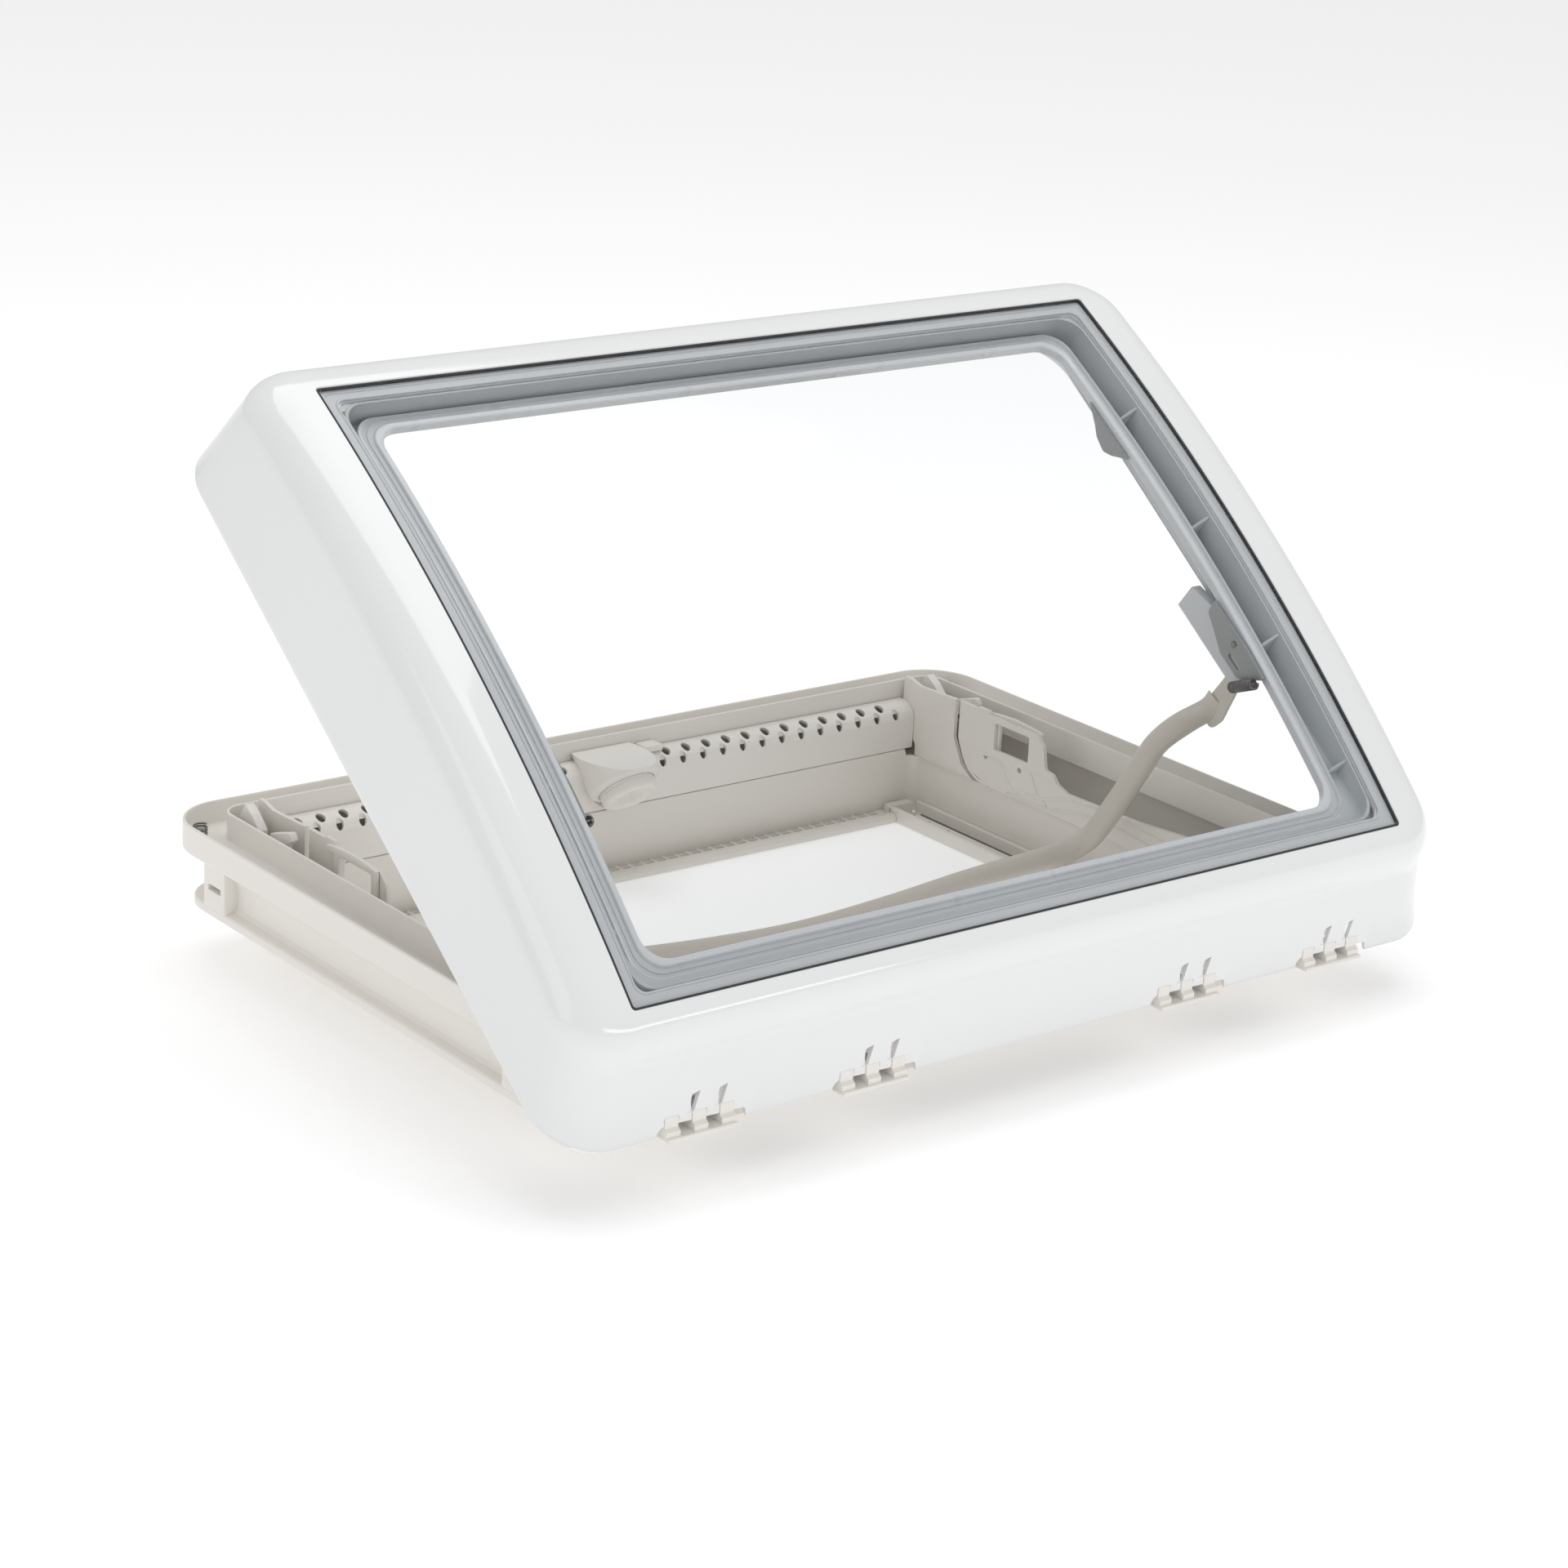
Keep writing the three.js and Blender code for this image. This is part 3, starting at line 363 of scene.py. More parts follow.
def moulded(name, colour, shade, roughness, grain, grainScale, gloss=0.0):
    # moulded plastic: slight tone drift, satin patches and a fine skin texture
    material, nodes, links, shader = newFinish(name)
    drift = noise(nodes, links, 9, 3)
    tone = nodes.new("ShaderNodeMix")
    tone.data_type = "RGBA"
    tone.inputs[6].default_value = (*colour, 1)
    tone.inputs[7].default_value = (*shade, 1)
    links.new(drift.outputs["Fac"], tone.inputs[0])
    links.new(tone.outputs[2], shader.inputs["Base Color"])
    patches = noise(nodes, links, 40, 4)
    spread = nodes.new("ShaderNodeMapRange")
    spread.inputs["To Min"].default_value = roughness * 0.85
    spread.inputs["To Max"].default_value = roughness * 1.2
    links.new(patches.outputs["Fac"], spread.inputs["Value"])
    links.new(spread.outputs["Result"], shader.inputs["Roughness"])
    fine = noise(nodes, links, grainScale, 5)
    bump = nodes.new("ShaderNodeBump")
    bump.inputs["Strength"].default_value = grain
    bump.inputs["Distance"].default_value = 0.0004
    links.new(fine.outputs["Fac"], bump.inputs["Height"])
    links.new(bump.outputs["Normal"], shader.inputs["Normal"])
    shader.inputs["Coat Weight"].default_value = gloss
    shader.inputs["Coat Roughness"].default_value = 0.04
    return material


lidWhite = moulded("lidWhite", (0.83, 0.835, 0.84), (0.805, 0.81, 0.815), 0.14, 0.02, 60, 0.7)
frameCream = moulded("frameCream", (0.86, 0.83, 0.785), (0.83, 0.8, 0.75), 0.38, 0.12, 900)
linerCream = moulded("linerCream", (0.83, 0.795, 0.74), (0.8, 0.765, 0.71), 0.42, 0.12, 900)
troughGrey = moulded("troughGrey", (0.5, 0.525, 0.54), (0.46, 0.485, 0.5), 0.34, 0.1, 800)
bedGrey = moulded("bedGrey", (0.58, 0.6, 0.615), (0.54, 0.56, 0.575), 0.3, 0.08, 700)
lipGrey = moulded("lipGrey", (0.66, 0.68, 0.7), (0.62, 0.64, 0.66), 0.28, 0.08, 700, 0.2)
fittingGrey = moulded("fittingGrey", (0.36, 0.37, 0.375), (0.32, 0.33, 0.335), 0.4, 0.15, 800)
bowBeige = moulded("bowBeige", (0.66, 0.62, 0.555), (0.63, 0.585, 0.52), 0.36, 0.08, 500, 0.15)
sealBlack = moulded("sealBlack", (0.035, 0.036, 0.04), (0.025, 0.026, 0.029), 0.55, 0.2, 700)


def drawnWire():
    material, nodes, links, shader = newFinish("springSteel")
    streak = noise(nodes, links, 300)
    ramp = nodes.new("ShaderNodeValToRGB")
    ramp.color_ramp.elements[0].color = (0.16, 0.155, 0.15, 1)
    ramp.color_ramp.elements[1].color = (0.34, 0.33, 0.32, 1)
    links.new(streak.outputs["Fac"], ramp.inputs["Fac"])
    links.new(ramp.outputs["Color"], shader.inputs["Base Color"])
    shader.inputs["Metallic"].default_value = 1.0
    shader.inputs["Roughness"].default_value = 0.32
    return material


springSteel = drawnWire()


def clearSheet():
    # acrylic pane: clear, with a weak reflection and a faint smear in the gloss
    material, nodes, links, shader = newFinish("clearAcrylic")
    nodes.remove(shader)
    out = nodes["Material Output"]
    through = nodes.new("ShaderNodeBsdfTransparent")
    through.inputs["Color"].default_value = (0.985, 0.987, 0.988, 1)
    gloss = nodes.new("ShaderNodeBsdfGlossy")
    gloss.inputs["Color"].default_value = (1, 1, 1, 1)
    smear = noise(nodes, links, 6)
    spread = nodes.new("ShaderNodeMapRange")
    spread.inputs["To Min"].default_value = 0.01
    spread.inputs["To Max"].default_value = 0.05
    links.new(smear.outputs["Fac"], spread.inputs["Value"])
    links.new(spread.outputs["Result"], gloss.inputs["Roughness"])
    edge = nodes.new("ShaderNodeFresnel")
    edge.inputs["IOR"].default_value = 1.06
    mix = nodes.new("ShaderNodeMixShader")
    links.new(edge.outputs["Fac"], mix.inputs["Fac"])
    links.new(through.outputs["BSDF"], mix.inputs[1])
    links.new(gloss.outputs["BSDF"], mix.inputs[2])
    links.new(mix.outputs["Shader"], out.inputs["Surface"])
    return material


clearAcrylic = clearSheet()
print("finishes ready")


# the lid's own frame: X across, v from the hinge outward, w up
lid = {
    "half": 415.0, "near": -8.75, "far": 606.0, "bottom": -10.3, "radius": 45.0, "wall": 3.6,
    "shoulderNear": 23.0, "shoulderDrop": 28.0, "shoulderIn": 8.0, "shoulderFarIn": 9.0,
    "borderNear": 41.0, "borderIn": 39.0, "borderFarIn": 37.0, "borderRadius": 24.0,
    "paneNear": 47.3, "paneFar": 562.9, "paneHalf": 358.9, "ledge": 12.0, "ledgeDrop": 5.4,
    "nearHeight": 72.0, "farRise": 22.9, "crown": 18.0,
}
stations = (-298.0, -149.0, 149.0, 298.0)


def skin(v):
    middle = (lid["paneNear"] + lid["paneFar"]) / 2
    span = (lid["paneFar"] - lid["paneNear"]) / 2
    rise = (v - lid["paneNear"]) * lid["farRise"] / (2 * span)
    return lid["nearHeight"] + rise + lid["crown"] * (1 - ((v - middle) / span) ** 2)


def under(drop):
    return lambda x, v: skin(v) - drop


def lidRing(near, inX, inFar, radius, height):
    return {"near": near, "far": lid["far"] - inFar, "half": lid["half"] - inX, "radius": radius,
            "height": height}


def lidSide(offset, drop):
    # the outer or inner skin from the shoulder to the pane's border
    rings = []
    for degrees in (*range(0, 90, 12), 90):
        turn = math.radians(degrees)
        share = 1 - math.cos(turn)
        mix = lambda a, b: a + (b - a) * share
        rings.append(lidRing(
            mix(lid["shoulderNear"], lid["borderNear"]) + offset,
            mix(lid["shoulderIn"], lid["borderIn"]) + offset,
            mix(lid["shoulderFarIn"], lid["borderFarIn"]) + offset,
            mix(lid["radius"] - 2, lid["borderRadius"]) - offset,
            under(drop + lid["shoulderDrop"] * (1 - math.sin(turn)))))
    return rings


def lidShellSolid():
    wall = lid["wall"]
    low = lid["bottom"]

    def skirt(share, offset, lift=0.0):
        # part of the way up the flat side wall
        mix = lambda a, b: a + (b - a) * share
        return lidRing(
            mix(lid["near"], lid["shoulderNear"]) + offset, mix(0, lid["shoulderIn"]) + offset,
            mix(0, lid["shoulderFarIn"]) + offset, mix(lid["radius"], lid["radius"] - 2) - offset,
            lambda x, v: low + lift + (skin(v) - lid["shoulderDrop"] - low) * share)

    rings = [skirt(0, 1.4), skirt(0, 0.4, 0.4), skirt(0, 0, 1.4)]
    rings += [skirt(0.06, 0), skirt(0.5, 0), skirt(0.93, 0)]
    rings += lidSide(0, 0)
    paneIn = lid["half"] - lid["paneHalf"]
    farIn = lid["far"] - lid["paneFar"]
    near = lid["paneNear"]
    step = lid["ledge"]
    floor = lid["ledgeDrop"]
    rings += [
        lidRing(near - 0.8, paneIn - 0.8, farIn - 0.8, 3.8, under(0)),
        lidRing(near, paneIn, farIn, 3, under(0.7)),
        lidRing(near, paneIn, farIn, 3, under(floor)),
        lidRing(near + step, paneIn + step, farIn + step, 10, under(floor)),
        lidRing(near + step, paneIn + step, farIn + step, 10, under(floor + 3)),
        lidRing(near - 2, paneIn - 2, farIn - 2, 5, under(floor + 3)),
        lidRing(near - 2, paneIn - 2, farIn - 2, 5, under(3)),
    ]
    rings += list(reversed(lidSide(wall, 3)))
    rings += [skirt(0.5, wall), skirt(0.05, wall), skirt(0, wall - 0.4, 0.4), skirt(0, wall - 1.2)]
    return ringSolid(rings, 16, 30)


def hingeCutters():
    # a notch under each hinge and two slots above it
    cutters = []
    for middle in stations:
        corners = [(middle - 39.5, -16), (middle + 39.5, -16), (middle + 39.5, -4.4), (middle - 32, -3.2)]
        notch = rounded(corners, [0, 0, 3, 10], 8)
        cutters.append(outlineSolid(notch, -25, 14, "XZ", edge=0))
        for side in (-1, 1):
            x = middle + side * 11.5
            slot = [(x + 1.2, 1.0), (x + 7.2, 1.4), (x + 11.2, 13.4), (x + 4.6, 12.0)]
            cutters.append(outlineSolid(slot, -14, 12, "XZ", edge=0))
    return joined(*cutters)


shell = carved(lidShellSolid(), hingeCutters())
settle(makePiece("lidShell", shell, lidPose, 30), "lid", lidWhite, ["lid_shell"])


def hingeTabs():
    tabs = []
    for middle in stations:
        for side in (-1, 1):
            x = middle + side * 11.5
            turns = [math.radians(degrees) for degrees in range(200, 371, 10)]
            outline = [(3 * math.cos(turn), 3 * math.sin(turn)) for turn in turns]
            outline += [(9, 8), (15, 15), (11, 15), (1.6, 3)]
            hole = circle(0, 0, hinge["bore"], 24)
            tabs.append(outlineSolid(rounded(outline, 0.6, 2), x - 5.25, x + 5.25, "YZ", [hole], 0.5))
    return joined(*tabs)


settle(makePiece("hingeTabs", hingeTabs(), lidPose), "lid", lidWhite)
print("lid shell ready")


outerPane = {"near": 49.4, "far": 560.8, "half": 356.8, "radius": 2.5, "top": 0.15, "bottom": 3.0}
innerPane = {"near": 72, "far": 543, "half": 332, "radius": 20, "top": 15.7, "bottom": 18.7}


def crownedPane(pane):
    # a sheet under the lid's crown; top and bottom are depths below the skin
    near, far, half, radius = (pane[key] for key in ("near", "far", "half", "radius"))
    bm = bmesh.new()
    outline = ringPoints(pane, 6, 30)
    rows = sorted({round(y, 4) for x, y in outline if x > 0})
    widths = []
    for y in rows:
        inside = min(y - near, far - y)
        if inside >= radius:
            widths.append(half)
        else:
            widths.append(half - radius + math.sqrt(max(radius ** 2 - (radius - inside) ** 2, 0)))
    sheets = []
    columns = 12
    for drop in (pane["top"], pane["bottom"]):
        sheet = []
        for y, width in zip(rows, widths):
            z = skin(y) - drop
            sheet.append([bm.verts.new((width * (2 * i / columns - 1), y, z)) for i in range(columns + 1)])
        sheets.append(sheet)
    upper, lower = sheets
    last = len(rows) - 1
    for r in range(last):
        for i in range(columns):
            bm.faces.new((upper[r][i], upper[r][i + 1], upper[r + 1][i + 1], upper[r + 1][i]))
            bm.faces.new((lower[r][i + 1], lower[r][i], lower[r + 1][i], lower[r + 1][i + 1]))
        for i in (0, columns):
            bm.faces.new((upper[r][i], upper[r + 1][i], lower[r + 1][i], lower[r][i]))
    for i in range(columns):
        for row in (0, last):
            bm.faces.new((upper[row][i], upper[row][i + 1], lower[row][i + 1], lower[row][i]))
    return bm


settle(makePiece("outerPane", crownedPane(outerPane), lidPose, 30), "lid", clearAcrylic, ["outer_pane"])
settle(makePiece("innerPane", crownedPane(innerPane), lidPose, 30), "lid", clearAcrylic, ["inner_pane"])


def paneRing(grow, radius, height):
    return {"near": lid["paneNear"] - grow, "far": lid["paneFar"] + grow, "half": lid["paneHalf"] + grow,
            "radius": radius, "height": height}


joint = [paneRing(-0.35, 2.8, under(0.9)), paneRing(-0.35, 2.8, under(3.0)), paneRing(-1.75, 2.2, under(3.0)),
         paneRing(-1.75, 2.2, under(0.9)), paneRing(-1.1, 2.5, under(0.5))]
settle(makePiece("paneJoint", ringSolid(joint, 5, 30), lidPose), "lid", sealBlack, ["pane_seal"])
bed = [
    paneRing(-0.4, 2.8, under(3.3)), paneRing(-0.4, 2.8, under(5.2)), paneRing(-11.6, 8, under(5.2)),
    paneRing(-11.6, 8, under(3.6)), paneRing(-11.2, 8, under(3.2)), paneRing(-10.2, 8, under(3.2)),
    paneRing(-9.8, 8, under(3.9)), paneRing(-5.2, 5, under(4.1)), paneRing(-4.6, 5, under(3.3)),
]
settle(makePiece("paneBed", ringSolid(bed, 10, 30), lidPose, 25), "lid", bedGrey)


# trough round the inside of the lid
trough = {"half": 346.0, "near": 60.0, "far": 550.0, "nearFloor": 59.0, "farFloor": 66.0}


def floorAt(v):
    share = (v - trough["near"]) / (trough["far"] - trough["near"])
    return trough["nearFloor"] + (trough["farFloor"] - trough["nearFloor"]) * share


def troughRing(offset, height, radius=18):
    return {"near": trough["near"] + offset, "far": trough["far"] - offset, "half": trough["half"] - offset,
            "radius": radius, "height": height}


def onFloor(lift):
    return lambda x, v: floorAt(v) + lift


opening = {"near": 84.0, "far": 531.0, "half": 320.0, "radius": 20, "drop": 19.0}


def lipRing(offset, drop):
    # measured outward from the edge of the clear opening
    return {"near": opening["near"] - offset, "far": opening["far"] + offset,
            "half": opening["half"] + offset, "radius": opening["radius"],
            "height": under(opening["drop"] + drop)}


def lipOnFloor(offset, lift):
    return dict(lipRing(offset, 0), height=onFloor(lift))


tray = [
    troughRing(0, onFloor(4.5)), troughRing(-8, onFloor(4.5)), troughRing(-8, onFloor(2)),
    troughRing(0, onFloor(2)), troughRing(0, onFloor(-1.5)), troughRing(1, onFloor(-2.5)),
    lipOnFloor(12.8, -2.5), lipOnFloor(12.8, 0), troughRing(4, onFloor(0)),
    troughRing(2.6, onFloor(0.6)), troughRing(2, onFloor(2)), troughRing(2, under(6.4)),
    troughRing(1.6, under(6)), troughRing(0.4, under(6)), troughRing(0, under(6.4)),
]
lip = [
    lipRing(14, 3), lipRing(14, 0.8), lipRing(13.6, 0.2), lipRing(12.8, 0), lipRing(10.2, 0),
    lipRing(9.9, 0.7), lipRing(9.3, 0.7), lipRing(9, 0), lipRing(5.6, 0), lipRing(4.9, -1.5),
    lipRing(4.3, -1.9), lipRing(1.2, -1.9), lipRing(0.4, -1.5), lipRing(0, -0.7), lipRing(0, 5.4),
    lipRing(0.4, 6), lipRing(1.6, 6), lipRing(2, 5.4), lipRing(2, 2.2), lipRing(11.8, 2.2),
    lipOnFloor(12, -0.6), lipOnFloor(14, -0.6),
]


def bladeRoom():
    # gaps in the lip for the bow's flat ends
    outline = [(209, 40), (209, 74), (245, 75.4), (295, 62), (295, 40)]
    return joined(*(outlineSolid(outline, low, low + 9, "YZ", edge=0) for low in (319, -328)))


settle(makePiece("lidTrough", ringSolid(tray, 12, 30), lidPose, 26), "lid", troughGrey, ["lid_inner_frame"])
settle(makePiece("paneLip", carved(ringSolid(lip, 12, 30), bladeRoom()), lidPose, 26), "lid", lipGrey)


def ribs():
    # cross ribs in the two side troughs
    parts = []
    for v in (109, 221.7, 334.4, 447.1):
        for side in (-1, 1):
            inner, outer = side * 333.4, side * 344.6
            corners = [(inner, floorAt(v) - 0.5), (outer, floorAt(v) - 0.5), (outer, skin(v) - 7.5),
                       (outer - side * 2.5, skin(v) - 10), (inner, skin(v) - 20.2)]
            parts.append(outlineSolid(rounded(corners, [0, 0, 0.5, 2, 0.5], 5), v, v + 2.4, "XZ", edge=0.6))
    return joined(*parts)


settle(makePiece("troughRibs", ribs(), lidPose), "lid", troughGrey)
sealProfile = [
    troughRing(-7, onFloor(1.7)), troughRing(-7, onFloor(-1.2)), troughRing(-6.2, onFloor(-2)),
    troughRing(-2.8, onFloor(-2)), troughRing(-2, onFloor(-1.2)), troughRing(-2, onFloor(1.7)),
]
settle(makePiece("lidSeal", ringSolid(sealProfile, 12, 20), lidPose), "lid", sealBlack, ["lid_seal"])
print("panes and trough ready")


roof = {"half": 385.0, "near": -12.0, "far": 522.0, "radius": 45.0}


def roofRing(inX, inY, height, radius=None):
    # measured inward from the frame's outer edge
    if radius is None:
        radius = max(roof["radius"] - min(inX, inY), 8)
    return {"near": roof["near"] + inY, "far": roof["far"] - inY, "half": roof["half"] - inX,
            "radius": radius, "height": height}


roofProfile = [
    roofRing(9.6, 9.6, 0), roofRing(9, 9, 0.8), roofRing(9, 9, 6), roofRing(9.8, 9.8, 7.4),
    roofRing(11.5, 11.5, 8.2), roofRing(16, 16, 9), roofRing(18.4, 18.4, 12), roofRing(19, 19, 18),
    roofRing(18.4, 18.4, 28), roofRing(16.4, 16.4, 35), roofRing(12.5, 12.5, 40), roofRing(8, 8, 43.4),
    roofRing(3, 3, 44.8), roofRing(0.9, 0.9, 45.4), roofRing(0, 0, 46.6), roofRing(0, 0, 60),
    roofRing(0, 0, 66.8), roofRing(0.5, 0.5, 67.7), roofRing(1.3, 1.3, 68), roofRing(2.1, 2.1, 67.7),
    roofRing(2.5, 2.5, 66.8), roofRing(2.5, 2.5, 52.5), roofRing(3.4, 3.4, 50.6),
    roofRing(5.4, 5.4, 50), roofRing(31, 24, 50), roofRing(33.2, 26.2, 50.7), roofRing(34, 27, 52.5),
    roofRing(34, 27, 71.2), roofRing(34.5, 27.5, 71.9), roofRing(35.5, 28.5, 71.9),
    roofRing(36, 29, 71.2), roofRing(36, 29, 46.5), roofRing(21.5, 21.5, 46.5), roofRing(21.5, 21.5, 4),
    roofRing(61.7, 46.7, 4, 14.3), roofRing(61.7, 46.7, 0, 14.3),
]
settle(makePiece("roofFrame", ringSolid(roofProfile, 16, 20), rest, 28), "frame", frameCream, ["roof_frame"])


def cornerPosts():
    # four posts in the band, each with a screw slot
    posts = []
    for side in (-1, 1):
        for y0 in (roof["near"] + 53, roof["far"] - 83):
            outline = rounded([(y0, 7.8), (y0 + 30, 7.8), (y0 + 30, 45), (y0, 45)], 1.5, 3)
            hole = rounded([(y0 + 6, 22), (y0 + 24, 22), (y0 + 24, 26.5), (y0 + 6, 26.5)], 1, 3)
            x0, x1 = (365.5, 378) if side > 0 else (-378, -365.5)
            posts.append(outlineSolid(outline, x0, x1, "YZ", [hole], 0.6))
    return joined(*posts)


settle(makePiece("cornerPosts", cornerPosts()), "frame", frameCream)


liner = {"near": 35, "far": 475, "half": 323, "radius": 14, "bottom": -40, "top": 16.2, "lowTop": 10.2}


def linerRing(offset, height):
    return {"near": liner["near"] + offset, "far": liner["far"] - offset, "half": liner["half"] - offset,
            "radius": liner["radius"] - offset, "height": height}


def linerTop(lift):
    # the wall is lower beside the panels
    return lambda x, y: (liner["top"] if abs(x) < 309.5 else liner["lowTop"]) + lift


linerProfile = [
    linerRing(0.5, liner["bottom"]), linerRing(0, liner["bottom"] + 0.5), linerRing(0, 4.3),
    linerRing(-6, 4.3), linerRing(-6, 6.3), linerRing(0, 6.3), linerRing(0, linerTop(-0.5)),
    linerRing(0.5, linerTop(0)), linerRing(2.5, linerTop(0)), linerRing(3, linerTop(-0.5)),
    linerRing(3, liner["bottom"] + 0.5), linerRing(2.5, liner["bottom"]),
]
settle(makePiece("roofLiner", ringSolid(linerProfile, 10, 12), rest, 28), "frame", linerCream, ["roof_liner"])


def railSolid():
    # a channel with end blocks and a sliding strip
    outline = rounded([(286, -40), (319.6, -40), (319.6, -28.6), (318.6, -28), (316.2, -28), (315.4, -28.8),
                       (315.4, -37), (314.4, -38), (291.2, -38), (290.2, -37), (290.2, -28.8), (289.4, -28),
                       (287, -28), (286, -29)], 0.5, 2)
    rail = outlineSolid(outline, 45.5, 460.6, "XZ", edge=0.3)
    ends = joined(boxSolid(286, 311, 38.4, 47, -40, -28), boxSolid(286, 311, 459, 468, -40, -28))
    strip = boxSolid(300.5, 306.5, 60, 446, -37.9, -34.5, 0.5)
    return joined(rail, ends, strip)


settlePair("guideRail", railSolid(), "frame", linerCream, "guide_rail")


def railPins(side):
    x = side * 296
    pins = [rod((x, y, -37.8), (x, y, -31.5), 1.6, 0.3, 12) for y in (70, 130, 395, 420, 440)]
    pins.append(wire([(side * 309.8, 60, -35.5), (side * 309.8, 446, -35.5)], 0.9, 2))
    return joined(*pins)


settle(makePiece("railPinsRight", railPins(1)), "frame", springSteel)
settle(makePiece("railPinsLeft", railPins(-1)), "frame", springSteel)
ledge = {"half": 285.7, "windows": 47, "pitch": 11.8, "rows": (462.3, 467.2), "windowHalf": 4.6,
         "windowDeep": 3.9}


def ledgeSolid(withWindows):
    outline = rounded([(471.7, -40), (471.7, -34), (460.9, -34), (458, -32.5), (453, -32.6), (450.7, -35),
                       (450.7, -40)], [0.3, 0.5, 0.6, 2, 2.5, 2, 1], 5)
    bm = outlineSolid(outline, -ledge["half"], ledge["half"], "YZ", edge=0.3)
    if not withWindows:
        return bm
    windows = []
    halfWide = ledge["windowHalf"]
    for row in ledge["rows"]:
        for i in range(ledge["windows"]):
            x = (i - (ledge["windows"] - 1) / 2) * ledge["pitch"]
            windows.append(boxSolid(x - halfWide, x + halfWide, row, row + ledge["windowDeep"], -42, -30, 0))
    return carved(bm, joined(*windows))


settle(makePiece("grilleLedge", ledgeSolid(True)), "frame", linerCream, ["grille_ledge"])
hingeLedge = ledgeSolid(False)
hingeLedge.transform(Matrix.Translation((0, 510, 0)) @ Matrix.Rotation(math.pi, 4, "Z"))
settle(makePiece("hingeLedge", hingeLedge), "frame", linerCream, ["hinge_ledge"])
print("roof frame and liner ready")


# the button slides along a sloping line from the middle of its face
button = {"face": (0.0, 446.0, 34.0), "tilt": 46.0, "radius": 23.5, "bore": 24, "housing": 30.8}
buttonWay = Vector((0, math.cos(math.radians(button["tilt"])), math.sin(math.radians(button["tilt"]))))


def alongButton(distance):
    return Vector(button["face"]) + buttonWay * distance


cover = {"half": 316.7, "ventPitch": 20.5, "ventRadius": 3.9, "firstVent": 34, "lastVent": 303}


def coverSolid():
    front = rounded([(472, 16.8), (472, 44), (474, 50), (479, 54), (485, 56), (492, 56),
                     (492, 53.5), (485.4, 53.5), (480.4, 51.8), (476.2, 48.4), (474.5, 43.6), (474.5, 16.8)],
                    [0.6, 6, 6, 6, 4, 0.3, 0.3, 4, 5, 5, 6, 0.6], 5)
    bm = outlineSolid(front, -cover["half"], cover["half"], "YZ", edge=0.2)
    radius = cover["ventRadius"]
    cutters = []
    for i in range(-15, 16):
        # one vent on the shoulder and one just below it on the front
        for shift, start, along, stretch in ((7.0, (476, 62.3), (8, -16), (1, 1.3, 1)),
                                             (0, (466, 52.5), (10, -4.4), (0.85, 1, 1.4))):
            x = (i - 0.5) * cover["ventPitch"] + shift
            if not cover["firstVent"] < abs(x) < cover["lastVent"]:
                continue
            way = Vector((0, *along))
            middle = Vector((x, *start)) + way / 2
            profile = [(0, 0), (0, radius), (way.length, radius), (way.length, 0)]
            vent = turned(profile, (x, *start), way, 20)
            oval = Matrix.Diagonal((*stretch, 1))
            vent.transform(Matrix.Translation(middle) @ oval @ Matrix.Translation(-middle))
            cutters.append(vent)
    bm = carved(bm, joined(*cutters))
    return carved(bm, rod(alongButton(0), alongButton(60), 30.3, 0, 48))


settle(makePiece("blindCover", coverSolid(), rest, 35), "frame", frameCream, ["blind_cover"])
nearCover = rounded([(39, 16.8), (39, 40), (33, 47), (18, 49),
                     (18, 46.5), (32, 44.6), (36.5, 39), (36.5, 16.8)], [0.5, 5, 6, 0.5, 0.5, 5, 4, 0.5], 5)
hingeCover = outlineSolid(nearCover, -cover["half"], cover["half"], "YZ", edge=0.2)
settle(makePiece("hingeCover", hingeCover), "frame", frameCream, ["hinge_cover"])


def collarSolid():
    # housing round the button, with a stepped bore that stops short of the cover's top
    bore, outside = button["bore"], button["housing"]
    profile = [(9.6, bore), (9.6, 25.4), (10.4, 28), (12.2, 30), (15, outside), (52, outside), (52, 0),
               (33.6, 0), (33.6, 6.4), (27, 6.4), (27, 12.6), (15.6, 12.6), (15.6, bore)]
    ring = turned(profile + profile[:1], Vector(button["face"]), buttonWay, 64)
    bmesh.ops.remove_doubles(ring, verts=ring.verts, dist=1e-4)
    ring = carved(ring, boxSolid(-60, 60, 491.8, 600, -60, 200, 0))
    return carved(ring, boxSolid(-60, 60, 300, 600, 63, 200, 0))


settle(makePiece("buttonCollar", collarSolid(), rest, 35), "frame", frameCream, ["button_collar"])


def buttonSolid():
    # a grooved cap with a dished, dotted face
    radius = button["radius"]
    profile = [(22, 0), (22, 12), (11.2, 12), (11.2, radius), (8.6, radius), (8, 22.9), (7.2, 22.9),
               (6.6, radius), (2.4, radius), (0.8, 22.9), (-0.4, 21.6), (-1.1, 19.8), (-1.2, 18.4),
               (-0.6, 17.4), (0.1, 15.5), (0.5, 8), (0.6, 0)]
    body = turned(profile, Vector(button["face"]), buttonWay, 56)
    studs = []
    sideWay = Vector((1, 0, 0))
    upWay = buttonWay.cross(sideWay)
    for row in range(-7, 8):
        for column in range(-7, 8):
            a = column * 2.5 + (1.25 if row % 2 else 0)
            b = row * 2.2
            if math.hypot(a, b) > 15.8:
                continue
            centre = alongButton(0.7) + sideWay * a + upWay * b
            dome = [(0.6, 0), (0.6, 0.85), (-0.35, 0.75), (-0.75, 0.4), (-0.85, 0)]
            studs.append(turned(dome, centre, buttonWay, 8))
    return joined(body, *studs)


